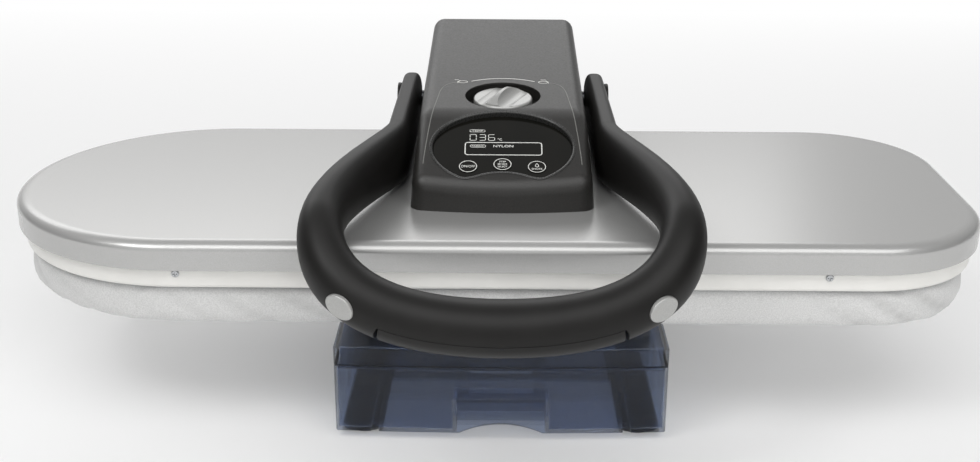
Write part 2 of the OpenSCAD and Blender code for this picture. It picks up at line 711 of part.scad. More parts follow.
// Pressing head: arm and its fittings
web_end = shaft[0] + 2;
screw_rows = [-25, 60];
module arm_frame() {
    color("#a3a7ab") difference() {
        union() {
            both_sides() side_plate(rib_x, rib_x + rib_t) {
                polygon([[-rib_front, seat_z], [hinge[0] - 31, seat_z], [hinge[0] - 11, hinge[1] - 7],
                    [hinge[0] + 11, hinge[1] + 7], [shaft[0] + 13, shaft[1] + 5],
                    [shaft[0] - 12, shaft[1] + 6], [shaft[0] - 36, seat_z + rib_h + 2],
                    [-rib_front, seat_z + rib_h]]);
                translate(hinge) circle(boss_r, $fn = 64);
                translate(shaft) circle(boss_r + 1, $fn = 64);
            }
            both_sides() xcyl(boss_r - 1, rib_x + 1, rib_x + rib_boss_t, hinge[0], hinge[1]);
            block([-rib_x - 1, -rib_front, seat_z], [rib_x + 1, web_end, seat_z + 3]);
            block([-rib_x - 1, -rib_front, seat_z], [rib_x + 1, -rib_front + 3, seat_z + rib_h]);
        }
        both_sides() xcyl(hinge_pin_r + bush_wall + 0.02, rib_x - 1, rib_x + 8, hinge[0], hinge[1]);
        both_sides() xcyl(shaft_r + bush_wall + 0.02, rib_x - 1, rib_x + 8, shaft[0], shaft[1]);
        for (x = [-9, 9]) for (y = screw_rows) zcyl(2.6, seat_z - 1, seat_z + 4, x, y);
    }
}
module bush(r, x0, x1, p) {
    difference() {
        xcyl(r + bush_wall, x0, x1, p[0], p[1]);
        xcyl(r + run_gap, x0 - 1, x1 + 1, p[0], p[1]);
    }
}
module hinge_bushes() {
    color("#b08d4c") both_sides() bush(hinge_pin_r, rib_x, rib_x + rib_boss_t + 0.3, hinge);
}
module shaft_bushes() {
    color("#b08d4c") both_sides() bush(shaft_r, rib_x - 0.3, rib_x + rib_t + 0.8, shaft);
}
module arm_screws() {
    color("#9a9da0") for (x = [-9, 9]) for (y = screw_rows) {
        zcyl(2.5, cover_z + 4, seat_z + 4, x, y);
        zcyl(4.5, seat_z + 3, seat_z + 6, x, y);
    }
}

// Housing: one hull for the outside, one for the inside
nose_y = -shell_front + shell_r;
brow_mid = (slope + roof) / 2;
brow_ball = brow + shell_r / cos((slope - roof) / 2) * [sin(brow_mid), -cos(brow_mid)];
rear_ball = [shell_back - shell_r,
    rear[1] - (rear[0] - shell_back + shell_r) * tan(roof) - shell_r / cos(roof)];
function half_at(z) = shell_half_w - side_draft * (z - cover_top) - shell_r;
function nose_ball(s) = let (y = nose_y - nose_bow * (1 - s * s),
    z = lip[1] + (y - lip[0]) * tan(slope) - shell_r / cos(slope)) [s * half_at(z), y, z];
module foot_post(s, y, t) {
    translate([s * half_at(cover_top), y, seat_z - (t > 0 ? 2 : 0)])
        cylinder(h = 1, r = shell_r - t, $fn = 28);
}
module housing_form(t) {
    hull() {
        for (s = [-1:0.5:1]) translate(nose_ball(s)) sphere(shell_r - t, $fn = 28);
        for (s = [-1, 1]) for (b = [brow_ball, rear_ball])
            translate([s * half_at(b[1]), b[0], b[1]]) sphere(shell_r - t, $fn = 28);
        for (s = [-1:0.5:1]) foot_post(s, nose_y - nose_bow * (1 - s * s), t);
        for (s = [-1, 1]) foot_post(s, rear_ball[0], t);
    }
}
module housing_shell() {
    color("#55504f") difference() {
        union() {
            difference() {
                housing_form(0);
                housing_form(shell_wall);
            }
            on_roof() well_oval(2, -well_depth - well_floor, -1.5);
        }
        on_roof() well_oval(0, -well_depth, 12);
        on_dial() translate([0, 0, -well_depth - 5]) cylinder(h = 8, r = encoder_shaft_r + 0.6, $fn = 32);
        on_panel() translate([0, 0, -12]) linear_extrude(24) panel_outline(1.5);
        xcyl(shaft_r + 2, -80, 80, shaft[0], shaft[1]);
        block([-shroud_x - 4, nose_r + 1, seat_z - 5], [shroud_x + 4, shell_back + 5, seat_z + 14]);
    }
}
module housing_base() {
    w = shell_half_w - shell_wall - 0.5;
    color("#2c2d2f") difference() {
        round_block(-w, w, -shell_front + 6, nose_r - 4, cover_top, seat_z, 6);
        for (x = [-9, 9]) for (y = screw_rows) zcyl(2.6, cover_top - 1, seat_z + 1, x, y);
        zcyl(5.2, cover_top - 1, seat_z + 1, 30, 40);
    }
}

// Panel
module panel_bezel() {
    color("#6a6766") difference() {
        union() {
            on_panel() translate([0, 0, -9]) linear_extrude(9) panel_outline(1.2);
            on_panel() linear_extrude(bezel_t) panel_outline(2.2);
        }
        on_glass() translate([0, 0, -window_t]) linear_extrude(8) panel_outline(0);
        on_glass() translate([0, 0, -20]) linear_extrude(22) {
            panel_outline(-2.5);
            button_spots(button_r + button_gap);
        }
    }
    color("#6a6766") on_glass() for (x = [-1, 1]) for (y = [-14, 20])
        translate([x * 36, y, -board_drop]) cylinder(h = board_drop - window_t, r = 2.5, $fn = 24);
}
module button_spots(r) {
    for (k = [0:2]) translate([(k - 1) * button_pitch, button_s[k]]) circle(r, $fn = 48);
}
module panel_window() {
    color("#15161a") on_glass() translate([0, 0, -window_t]) linear_extrude(window_t) difference() {
        panel_outline(-0.2);
        button_spots(button_r + button_gap);
    }
}
module display_module() {
    color("#3b4a45") on_glass() translate([-30, -8, -board_drop])
        cube([60, 28, board_drop - window_t - 0.3]);
}
module control_board() {
    color("#1f5a3a") on_glass() {
        translate([-40, -24, -board_drop - board_t]) cube([80, 48, board_t]);
        for (k = [0:2]) translate([(k - 1) * button_pitch - 3, button_s[k] - 3, -board_drop - 0.5])
            cube([6, 6, switch_h + 0.5]);
    }
}
module panel_button(k) {
    stem = -board_drop + switch_h + button_stroke + 0.1;
    color("#1d1e21") on_glass() translate([(k - 1) * button_pitch, button_s[k], 0]) {
        translate([0, 0, -window_t - 1]) cylinder(h = window_t + 1 + button_proud, r = button_r, $fn = 48);
        translate([0, 0, stem]) cylinder(h = -window_t - 0.5 - stem, r = 2.5, $fn = 32);
    }
}
module button_left() {
    panel_button(0);
}
module button_middle() {
    panel_button(1);
}
module button_right() {
    panel_button(2);
}
module dial_encoder() {
    color("#7d8084") on_dial() {
        translate([-8, -7, -well_depth - well_floor - encoder_drop - 9]) cube([16, 14, 9]);
        translate([0, 0, -well_depth - well_floor - encoder_drop - 1])
            cylinder(h = well_floor + 6, r = encoder_shaft_r, $fn = 32);
    }
}
dial_z = -well_depth + 2.4;
module temperature_dial() {
    color("#c9cacb") on_dial() difference() {
        union() {
            translate([0, 0, dial_z]) cylinder(h = 4.2, r = dial_r, $fn = 96);
            translate([0, 0, dial_z + 4]) cylinder(h = 2, r1 = dial_r, r2 = dial_r - 2.5, $fn = 96);
            intersection() {
                translate([0, 0, dial_z]) cylinder(h = 16, r = dial_r - 0.5, $fn = 96);
                rotate([0, 0, dial_turn]) translate([-dial_r, -4.5, dial_z + 2]) cube([2 * dial_r, 9, 9.6]);
            }
        }
        translate([0, 0, dial_z - 1]) cylinder(h = 5.5, r = encoder_shaft_r + run_gap, $fn = 32);
    }
}

// Heated plate and its cover
stud_x = [nose_cx - 42.5, nose_cx + 87.5, tail_cx - 126, tail_cx + 14];
stud_y = [nose_r - 61.5, nose_r - 46.5, nose_r - 46.5, nose_r - 61.5];
stud_spots = [for (k = [0:3]) for (s = [-1, 1]) [stud_x[k], s * stud_y[k]]];
module platen_cover() {
    color("#b9bbbc") difference() {
        union() {
            difference() {
                platen(0, cover_z, cover_top, cover_edge_r);
                platen(cover_wall, cover_z - 1, cover_top - cover_wall, cover_edge_r - cover_wall);
            }
            for (x = [-9, 9]) for (y = screw_rows) zcyl(5.5, cover_z + 6, cover_top - 1, x, y);
        }
        for (x = [-9, 9]) for (y = screw_rows) zcyl(2.52, cover_z + 1, cover_top + 1, x, y);
        zcyl(5.2, cover_z, cover_top + 1, 30, 40);
    }
}
sole_top = sole_z + sole_t;
skirt_top = cover_z + 5;
module platen_skirt() {
    color("#ecebe6") difference() {
        platen(skirt_inset, sole_z, skirt_top);
        platen(skirt_in, sole_z - 1, skirt_top + 1);
        skirt_screw_spots(1.55);
    }
}
// Screws go in level through the skirt's top edge into lugs that stand on the plate
skirt_screw_z = cover_z - 2.6;
lug_top = cover_z + 1.5;
skirt_screw_x = [nose_cx + 2.5, tail_cx - 30];
module skirt_screw_spots(r) {
    for (x = skirt_screw_x) {
        ycyl(r, -nose_r + skirt_inset - 1, -nose_r + sole_inset + 10, x, skirt_screw_z);
        ycyl(r, nose_r - sole_inset - 10, nose_r - skirt_inset + 1, x, skirt_screw_z);
    }
    xcyl(r, -nose_reach + skirt_inset - 1, -nose_reach + sole_inset + 10, 0, skirt_screw_z);
    xcyl(r, tail_reach - sole_inset - 10, tail_reach - skirt_inset + 1, 0, skirt_screw_z);
}
module skirt_screws() {
    color("#4a4b4d") {
        skirt_screw_spots(1.5);
        for (x = skirt_screw_x) {
            ycyl(3, -nose_r + skirt_inset - 1.4, -nose_r + skirt_inset - 0.02, x, skirt_screw_z);
            ycyl(3, nose_r - skirt_inset + 0.02, nose_r - skirt_inset + 1.4, x, skirt_screw_z);
        }
        xcyl(3, -nose_reach + skirt_inset - 1.4, -nose_reach + skirt_inset - 0.02, 0, skirt_screw_z);
        xcyl(3, tail_reach - skirt_inset + 0.02, tail_reach - skirt_inset + 1.4, 0, skirt_screw_z);
    }
}
module plate_lugs() {
    for (x = skirt_screw_x) for (s = [0, 1]) mirror([0, s, 0])
        block([x - 6, nose_r - sole_inset - 12, sole_top - 1], [x + 6, nose_r - sole_inset - 0.2, lug_top]);
    block([-nose_reach + sole_inset + 0.4, -6, sole_top - 1], [-nose_reach + sole_inset + 12, 6, lug_top]);
    block([tail_reach - sole_inset - 12, -6, sole_top - 1], [tail_reach - sole_inset - 0.2, 6, lug_top]);
}
module heating_plate() {
    color("#c4c6c8") difference() {
        union() {
            platen(sole_inset, sole_z, sole_top);
            plate_lugs();
        }
        for (x = [-8:7]) for (y = [-2:2])
            zcyl(steam_hole_r, sole_z - 1, sole_top + 1, x * steam_pitch + 18, y * steam_pitch);
        skirt_screw_spots(1.52);
        for (p = stud_spots) zcyl(2.5, sole_top - 4, sole_top + 1, p[0], p[1]);
    }
}
module plate_studs() {
    color("#9a9da0") for (p = stud_spots) {
        zcyl(2.5, sole_top - 4, sole_top + 1, p[0], p[1]);
        zcyl(4.5, sole_top, cover_top - cover_wall, p[0], p[1]);
    }
}
element_r = 3.3;
element_y = nose_r - 71.5;
element_x = [nose_cx - 22.5, tail_cx - 6];
module heating_element() {
    z = sole_top + element_r;
    color("#5f6163") {
        for (s = [-1, 1]) translate([element_x[0], s * element_y, z])
            rotate([0, 90, 0]) cylinder(h = element_x[1] - element_x[0], r = element_r, $fn = 32);
        translate([element_x[1], 0, z]) rotate([0, 0, -90])
            rotate_extrude(angle = 180, $fn = 96) translate([element_y, 0]) circle(element_r, $fn = 32);
    }
}
mat_t = 6;
mat_z = cover_top - cover_wall - 0.3 - mat_t;
module insulation_mat() {
    color("#d8d2bd") difference() {
        platen(skirt_in + 6, mat_z, mat_z + mat_t);
        for (p = stud_spots) zcyl(5, mat_z - 1, mat_z + mat_t + 1, p[0], p[1]);
        for (x = [-9, 9]) for (y = screw_rows) zcyl(6, mat_z - 1, mat_z + mat_t + 1, x, y);
        zcyl(5.2, mat_z - 1, mat_z + mat_t + 1, 30, 40);
    }
}
module thermostat() {
    color("#d9d4c4") {
        zcyl(9, sole_top, sole_top + 8, 70, -15);
        block([66, -22, sole_top], [74, -8, sole_top + 9.5]);
    }
}
module steam_inlet() {
    color("#a08a55") {
        block([10, 20, sole_top], [60, element_y - 7, sole_top + 9.5]);
        zcyl(4.5, sole_top + 9, seat_z + 12, 30, 40);
    }
}

// Handle path and its cross-sections
function bezier(a, b, c, d, t) =
    pow(1 - t, 3) * a + 3 * t * pow(1 - t, 2) * b + 3 * t * t * (1 - t) * c + t * t * t * d;
arm_dir = unit(arm_front - arm_end);
function path_at(u) =
    u <= 1 ? arm_end + (arm_front - arm_end) * u :
    u <= 2 ? bezier(arm_front, arm_front + arm_dir * neck_lead,
        wide_pt - wide_dir * neck_tail, wide_pt, u - 1) :
    bezier(wide_pt, wide_pt + wide_dir * grip_lead, grip_pt - [grip_tail, 0, 0], grip_pt, u - 2);
function path_dir(u) = u > 2.98 ? [1, 0, 0] : unit(path_at(u + 0.01) - path_at(max(u - 0.01, 0)));
function section_w(u) = lookup(u, [[0, arm_w], [1, arm_w], [2, wide_w], [3, grip_w]]);
function section_h(u) = lookup(u, [[0, arm_h], [1, arm_h], [2, wide_h], [3, grip_h]]);
function section_e(u) = lookup(u, [[0, 3.4], [1, 3.2], [1.8, 2.2], [3, 2]]);
function section_roll(u) = lookup(u, [[0, 0], [1, 0], [2, grip_roll], [3, grip_roll]]);
function side_dir(u) = unit(cross(path_dir(u), [0, 0, 1]));
function lift_dir(u) = cross(side_dir(u), path_dir(u));
function out_dir(u) = side_dir(u) * cos(section_roll(u)) - lift_dir(u) * sin(section_roll(u));
function up_dir(u) = lift_dir(u) * cos(section_roll(u)) + side_dir(u) * sin(section_roll(u));
function rounded(c, e) = sign(c) * pow(abs(c), 2 / e);
// One ring of the handle: lo and hi trim its height to a seam
function section(u, lo = -99, hi = 99, k = 1, back = 0) = [for (j = [0:section_points - 1])
    let (a = 360 * j / section_points,
        x = rounded(cos(a), section_e(u)) * section_w(u) / 2 * (0.55 + 0.45 * k),
        z = rounded(sin(a), section_e(u)) * section_h(u) / 2 * k)
    path_at(u) - path_dir(u) * back + x * out_dir(u) + max(lo, min(hi, z)) * up_dir(u)];
function flip_x(r) = [for (p = r) [-p[0], p[1], p[2]]];
module loft(half) {
    rings = concat(half, [for (k = [len(half) - 2:-1:0]) flip_x(half[k])]);
    polyhedron([for (r = rings) each r], tube_faces(len(rings), section_points));
}
end_rings = [for (k = [0.96, 0.8, 0.5]) section(0, k = sqrt(1 - k * k), back = k * arm_round)];
arm_rings = concat(end_rings, [for (u = [0:0.25:1]) section(u)], [for (u = [1.1:0.1:2]) section(u)]);
side_rings = [for (u = [2.08:0.08:grip_from - 0.02]) section(u)];
function seam_u(k, from) = from + (3 - from) * k / 7;
seam_rings = [for (k = [0:7]) section(seam_u(k, grip_from), lo = seam_v)];
cover_rings = [for (k = [0:7]) section(seam_u(k, grip_from + 0.004), hi = seam_v - seam_gap)];
function pill(g) = oval(steam_button_len / 2 + g, steam_button_w / 2 + g, steam_button_w / 2 + g, 40);
module on_steam_button(s) {
    n = out_dir(steam_u) * cos(steam_tilt) + up_dir(steam_u) * sin(steam_tilt);
    c = path_at(steam_u) + n * section_w(steam_u) / 2;
    t = path_dir(steam_u);
    b = cross(n, t);
    mirror([s, 0, 0]) multmatrix([[t[0], b[0], n[0], c[0]], [t[1], b[1], n[1], c[1]],
        [t[2], b[2], n[2], c[2]], [0, 0, 0, 1]]) children();
}
module handle_loop() {
    color("#2b2a29") difference() {
        loft(concat(arm_rings, side_rings, [section(grip_from - 0.003)], seam_rings));
        xcyl(shaft_r + 0.02, -90, 90, shaft[0], shaft[1]);
        for (s = [0, 1]) on_steam_button(s) translate([0, 0, -steam_depth])
            linear_extrude(30) polygon(pill(steam_gap));
    }
}
module grip_cover() {
    color("#343332") loft(cover_rings);
}
module steam_button(s) {
    color("#c9cacb") on_steam_button(s) translate([0, 0, -steam_depth + steam_stroke + 0.3])
        linear_extrude(steam_depth - steam_stroke - 0.3 + steam_proud) polygon(pill(0));
}
module steam_button_left() {
    steam_button(0);
}
module steam_button_right() {
    steam_button(1);
}
shaft_end = arm_x + arm_w / 2;
module cross_shaft() {
    color("#b9bcbf") xcyl(shaft_r, -shaft_end - 0.7, shaft_end + 0.7, shaft[0], shaft[1]);
}
module pivot_caps() {
    color("#343332") both_sides() difference() {
        xcyl(12, shaft_end + 0.25, shaft_end + 3, shaft[0], shaft[1]);
        xcyl(shaft_r + 0.02, shaft_end - 1, shaft_end + 0.8, shaft[0], shaft[1]);
    }
}
crank_x = ear_x + 0.5;
module handle_crank() {
    color("#8d9094") difference() {
        union() {
            both_sides() side_plate(crank_x, crank_x + 4) {
                translate(shaft) circle(10, $fn = 48);
                translate(crank_eye) circle(7, $fn = 48);
                translate(shaft) rotate(crank_angle) translate([0, -7]) square([crank_len, 14]);
            }
            xcyl(10, -crank_x - 1, crank_x + 1, shaft[0], shaft[1]);
            xcyl(link_pin_r, -crank_x - 1, crank_x + 1, crank_eye[0], crank_eye[1]);
        }
        xcyl(shaft_r + 0.02, -20, 20, shaft[0], shaft[1]);
    }
}
module toggle_link() {
    d = crank_eye - anchor;
    color("#9a9da0") difference() {
        union() {
            side_plate(-link_half_t, link_half_t) {
                translate(anchor) circle(link_eye_r, $fn = 48);
                translate(crank_eye) circle(link_eye_r, $fn = 48);
                translate(anchor) rotate(atan2(d[1], d[0])) translate([0, -5]) square([norm(d), 10]);
            }
        }
        xcyl(link_pin_r + run_gap, -20, 20, anchor[0], anchor[1]);
        xcyl(link_pin_r + link_play, -20, 20, crank_eye[0], crank_eye[1]);
    }
}
module place() {
    translate([shift_x, shift_y, 0]) children();
}

echo(shift = [shift_x, shift_y], hinge = hinge, shaft = shaft, anchor = anchor, crank_eye = crank_eye);
echo(steam_axis = out_dir(steam_u) * cos(steam_tilt) + up_dir(steam_u) * sin(steam_tilt));
echo(dial = dial_c, panel = panel_c, slope = slope, roof = roof, cap = [cap_x, cap_y, tank_top]);
echo(button_axis = slope - glass_tilt, button_at = panel_c);
echo(spring_gap = spring_pitch - 2 * spring_wire);

place() base_housing();
place() base_plate();
place() rubber_feet();
place() base_screws();
place() hinge_tower();
place() tower_cover();
place() tower_bolts();
place() hinge_pins();
place() pin_clips();
place() hinge_springs();
place() link_pin();
place() board_brackets();
place() board_pan();
place() board_screws();
place() foam_pad();
place() pad_cover();
place() steam_pump();
place() pump_mounts();
place() tank_socket();
place() socket_seal();
place() feed_hose();
place() terminal_block();
place() cord_gland();
place() tank_body();
place() tank_lid();
place() lid_seal();
place() tank_valve();
place() filler_cap();
place() arm_frame();
place() hinge_bushes();
place() shaft_bushes();
place() arm_screws();
place() housing_shell();
place() housing_base();
place() panel_bezel();
place() panel_window();
place() display_module();
place() control_board();
place() dial_encoder();
place() temperature_dial();
place() button_left();
place() button_middle();
place() button_right();
place() platen_cover();
place() platen_skirt();
place() skirt_screws();
place() insulation_mat();
place() heating_plate();
place() plate_studs();
place() heating_element();
place() thermostat();
place() steam_inlet();
place() handle_loop();
place() grip_cover();
place() cross_shaft();
place() handle_crank();
place() pivot_caps();
place() steam_button_left();
place() steam_button_right();
place() toggle_link();
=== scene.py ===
# %% [markdown]
# # A steam ironing press
# The press is a padded board on a base with a water tank, and a hinged head with a heated plate,
# a control housing and a looped handle. Its solid parts come from a CAD model, the frame.
# This file gives each part the shape and surface that the eye expects.

# %% Load the frame
import json
import math
import bmesh
import bpy
from bmesh.types import BMEdge, BMFace, BMVert
from math import cos, sin, radians, pi
from mathutils import Matrix, Vector
from mathutils.bvhtree import BVHTree
from mathutils.noise import noise

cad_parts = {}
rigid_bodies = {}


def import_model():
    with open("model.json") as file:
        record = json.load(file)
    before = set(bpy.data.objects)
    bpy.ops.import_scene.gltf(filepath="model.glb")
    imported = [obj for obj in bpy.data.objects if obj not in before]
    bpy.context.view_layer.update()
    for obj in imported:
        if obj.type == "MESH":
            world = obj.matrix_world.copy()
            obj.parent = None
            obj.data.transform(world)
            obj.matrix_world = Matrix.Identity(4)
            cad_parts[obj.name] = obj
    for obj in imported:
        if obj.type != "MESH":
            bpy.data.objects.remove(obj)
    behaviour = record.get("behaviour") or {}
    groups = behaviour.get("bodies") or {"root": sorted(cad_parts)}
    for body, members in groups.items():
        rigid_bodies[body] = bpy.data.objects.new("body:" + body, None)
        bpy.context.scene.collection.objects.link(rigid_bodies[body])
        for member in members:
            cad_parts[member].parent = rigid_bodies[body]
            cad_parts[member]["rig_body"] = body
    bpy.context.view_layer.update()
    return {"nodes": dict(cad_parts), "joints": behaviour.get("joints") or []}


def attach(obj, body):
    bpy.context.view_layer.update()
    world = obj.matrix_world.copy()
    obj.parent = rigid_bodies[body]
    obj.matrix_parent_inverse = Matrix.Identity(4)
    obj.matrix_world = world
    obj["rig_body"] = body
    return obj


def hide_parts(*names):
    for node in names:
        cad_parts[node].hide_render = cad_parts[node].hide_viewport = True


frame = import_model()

NODES = frame["nodes"]
# The frame is centred on its own box, in metres. The sizes below are in millimetres from the machine's
# middle line and the floor. The hinge's place in both gives the shift between them.
HINGE = Vector((0, 0.165, 0.116))
hinge_m = next(j for j in frame["joints"] if j["name"] == "main_hinge")["pos_m"]
SHIFT = Vector(hinge_m) - HINGE
TO_FRAME = Matrix.Translation(SHIFT) @ Matrix.Scale(0.001, 4)
print("loaded", len(NODES), "CAD nodes; shift", tuple(round(v, 5) for v in SHIFT))

# %% [markdown]
# ## Colours and surfaces
# Colours are written as the sRGB values one reads off a screen and turned into the linear values that the
# renderer wants. Each material is named for what the real part is made of. A small helper adds one node.

# %% Colour and node helpers
# the colour sockets of the Mix node come after its number and vector sockets, and share their names
MIX_FROM, MIX_TO, MIX_RESULT = 6, 7, 2


def srgb(code):
    """The linear colour, with full opacity, of a code such as #b9b9b8."""
    def linear(v):
        return v / 12.92 if v <= 0.04045 else ((v + 0.055) / 1.055) ** 2.4
    return tuple(linear(int(code[k:k + 2], 16) / 255) for k in (1, 3, 5)) + (1.0,)


def material(name, colour, **sockets):
    """A plain material. Each further word is an input of its shader."""
    m = bpy.data.materials.new(name)
    m.use_nodes = True
    shader = m.node_tree.nodes["Principled BSDF"]
    shader.inputs["Base Color"].default_value = srgb(colour)
    for key, value in sockets.items():
        shader.inputs[key.replace("_", " ")].default_value = value
    return m


def add(m, kind, inputs=(), **settings):
    """Adds one node. An input that is a socket is linked, anything else is its value."""
    n = m.node_tree.nodes.new("ShaderNode" + kind)
    for key, value in settings.items():
        setattr(n, key, value)
    for key, value in dict(inputs).items():
        if isinstance(value, bpy.types.NodeSocket):
            m.node_tree.links.new(value, n.inputs[key])
        else:
            n.inputs[key].default_value = value
    return n


def ramp(m, value, low, high, at_low=0.0, at_high=1.0):
    """Runs from one level to another as the value goes from low to high, and stays level beyond."""
    return add(m, "MapRange", {"Value": value, "From Min": low, "From Max": high,
        "To Min": at_low, "To Max": at_high}).outputs["Result"]


def mix(m, factor, start, end):
    """Goes from one colour to the other."""
    both = {"Factor": factor, MIX_FROM: start, MIX_TO: end}
    return add(m, "Mix", both, data_type="RGBA").outputs[MIX_RESULT]


def plug(m, socket, output):
    m.node_tree.links.new(output, m.node_tree.nodes["Principled BSDF"].inputs[socket])


def per_mm(size):
    """The scale of a texture in object space whose features are that many millimetres across."""
    return 1000.0 / size


def place_of(m):
    return add(m, "TexCoord").outputs["Object"]


def speckle(m, size, detail=2.0, stretch=(1, 1, 1)):
    """Soft noise with features of that size in millimetres."""
    where = add(m, "Mapping", {"Vector": place_of(m), "Scale": stretch}).outputs["Vector"]
    return add(m, "TexNoise", {"Vector": where, "Scale": per_mm(size), "Detail": detail}).outputs["Fac"]


def cells(m, size):
    """Small cells of that size in millimetres, each with a peak between its neighbours."""
    return add(m, "TexVoronoi", {"Vector": place_of(m), "Scale": per_mm(size)}).outputs["Distance"]


def tint(m, factor, dark, light, low=0.3, high=0.7):
    """Colour that runs from dark to light as the factor goes from low to high."""
    colour = mix(m, ramp(m, factor, low, high), srgb(dark), srgb(light))
    plug(m, "Base Color", colour)
    return colour


def roughen(m, factor, low, high):
    plug(m, "Roughness", ramp(m, factor, 0.3, 0.7, low, high))


def relief(m, height, depth_mm, below=None):
    """A bump as deep as that, laid over the bump below it."""
    values = {"Height": height, "Distance": depth_mm / 1000, "Strength": 1.0}
    if below is not None:
        values["Normal"] = below
    out = add(m, "Bump", values).outputs["Normal"]
    plug(m, "Normal", out)
    return out


# %% [markdown]
# The plastics differ in how they were moulded: a spark-eroded mould leaves a fine even grain, a polished
# mould leaves gloss, and lacquer flows out to a soft orange peel.

# %% Lacquer, plastics and inks
silver_lacquer = material("silver_lacquer", "#b9b9b8", Metallic=0.5, Roughness=0.27, Coat_Weight=0.15,
    Coat_Roughness=0.25)
tint(silver_lacquer, speckle(silver_lacquer, 0.35, 1), "#b0b0ae", "#bcbcbb")
relief(silver_lacquer, speckle(silver_lacquer, 2.2), 0.01)

white_abs = material("white_abs", "#e9e8e3", Roughness=0.35)
tint(white_abs, speckle(white_abs, 30), "#dfdeda", "#e7e6e2")
relief(white_abs, speckle(white_abs, 0.8), 0.008)

charcoal_abs = material("charcoal_abs", "#242528", Roughness=0.5)
tint(charcoal_abs, speckle(charcoal_abs, 20), "#212225", "#292a2d")
relief(charcoal_abs, speckle(charcoal_abs, 0.7, 1), 0.03)

housing_abs = material("housing_abs", "#262524", Roughness=0.38)
tint(housing_abs, speckle(housing_abs, 0.9, 1), "#232221", "#2b2a28")
roughen(housing_abs, speckle(housing_abs, 1.4), 0.34, 0.44)
relief(housing_abs, speckle(housing_abs, 0.6, 1), 0.03)

satin_abs = material("satin_abs", "#30302f", Roughness=0.27)
roughen(satin_abs, speckle(satin_abs, 1.0), 0.24, 0.32)

handle_abs = material("handle_abs", "#161514", Roughness=0.45, Specular_IOR_Level=0.28)
tint(handle_abs, speckle(handle_abs, 25), "#141312", "#191817")
relief(handle_abs, speckle(handle_abs, 0.7, 1), 0.02)

gloss_acrylic = material("gloss_acrylic", "#12110f", Roughness=0.12, Specular_IOR_Level=0.3)
tint(gloss_acrylic, speckle(gloss_acrylic, 40), "#10100d", "#161512")

silver_abs = material("silver_abs", "#c6c6c4", Metallic=0.4, Roughness=0.32)
tint(silver_abs, speckle(silver_abs, 0.4, 1), "#a4a4a2", "#b6b6b4")

# painted highlight: a lighter grey that stands in for the light caught along the moulded crease lines beside
# the panel
painted_crease_highlight = material("painted_crease_highlight", "#6f6f6c", Roughness=0.5)
tint(painted_crease_highlight, speckle(painted_crease_highlight, 1.5), "#686865", "#767673")

print_ink = material("print_ink", "#dededa", Roughness=0.5)
tint(print_ink, speckle(print_ink, 1.5), "#d2d2ce", "#e6e6e2")

smoked_polycarbonate = material("smoked_polycarbonate", "#6d84b0", Roughness=0.04, IOR=1.5,
    Transmission_Weight=1.0, Alpha=0.55)

circuit_lacquer = material("circuit_lacquer", "#1f5a3a", Roughness=0.3)
tint(circuit_lacquer, speckle(circuit_lacquer, 3), "#1a4f32", "#256644")

# %% Cloth, foam, felt and rubber
heather_cotton = material("heather_cotton", "#cbcbca", Roughness=0.95, Sheen_Weight=0.3,
    Sheen_Roughness=0.5)
fleck = speckle(heather_cotton, 0.8, 3)
heather = tint(heather_cotton, fleck, "#c3c3c2", "#d5d5d4", 0.34, 0.66)
# painted shade: a point attribute of the pad's mesh says how deep each point lies between two folds, and the
# cloth's colour is darkened there as shade in the fold valleys
painted_fold_shade = add(heather_cotton, "Attribute", attribute_name="painted_valley_shade").outputs["Fac"]
plug(heather_cotton, "Base Color", mix(heather_cotton, painted_fold_shade, heather, srgb("#a3a3a2")))
weave = relief(heather_cotton, cells(heather_cotton, 0.55), 0.08)
relief(heather_cotton, fleck, 0.12, below=weave)

open_foam = material("open_foam", "#e3d6a6", Roughness=0.95)
relief(open_foam, cells(open_foam, 1.0), 0.4)

felt_wool = material("felt_wool", "#d5cfbb", Roughness=1.0)
tint(felt_wool, speckle(felt_wool, 1.5, 4), "#c9c2ad", "#e0dac7")
relief(felt_wool, speckle(felt_wool, 0.7, 4), 0.2)

black_rubber = material("black_rubber", "#1d1d1d", Roughness=0.75)
relief(black_rubber, speckle(black_rubber, 0.8), 0.03)

milky_silicone = material("milky_silicone", "#c9cdca", Roughness=0.4, Subsurface_Weight=0.3)
relief(milky_silicone, speckle(milky_silicone, 3), 0.02)

# %% Metals
zinc_steel = material("zinc_steel", "#a9acb0", Metallic=1.0, Roughness=0.35)
tint(zinc_steel, speckle(zinc_steel, 9, 3), "#9b9ea2", "#b7babd")
roughen(zinc_steel, speckle(zinc_steel, 5, 3), 0.28, 0.45)

blackened_steel = material("blackened_steel", "#4b4c4e", Metallic=1.0, Roughness=0.28)
roughen(blackened_steel, speckle(blackened_steel, 1.0), 0.22, 0.4)

turned_steel = material("turned_steel", "#bfc1c3", Metallic=1.0, Roughness=0.22)
roughen(turned_steel, speckle(turned_steel, 0.5, 2, (1, 1, 6)), 0.16, 0.3)

bronze = material("bronze", "#a9803f", Metallic=1.0, Roughness=0.3)
roughen(bronze, speckle(bronze, 1.2, 2), 0.22, 0.4)

cast_aluminium = material("cast_aluminium", "#c3c5c7", Metallic=1.0, Roughness=0.3)
tint(cast_aluminium, speckle(cast_aluminium, 12, 3), "#b9bbbd", "#cbcdcf")
roughen(cast_aluminium, speckle(cast_aluminium, 2, 3, (1, 8, 1)), 0.24, 0.38)
print("materials:", len(bpy.data.materials))

# %% From mesh to object and back
def new_object(name, data):
    o = bpy.data.objects.new(name, data)
    bpy.context.scene.collection.objects.link(o)
    return o


def to_mesh(name, bm):
    mesh = bpy.data.meshes.new(name)
    bm.to_mesh(mesh)
    bm.free()
    return mesh


def from_mesh(mesh):
    bm = bmesh.new()
    bm.from_mesh(mesh)
    return bm


def final_mesh(o):
    """The object's mesh as its modifiers leave it."""
    return bpy.data.meshes.new_from_object(o.evaluated_get(bpy.context.evaluated_depsgraph_get()))


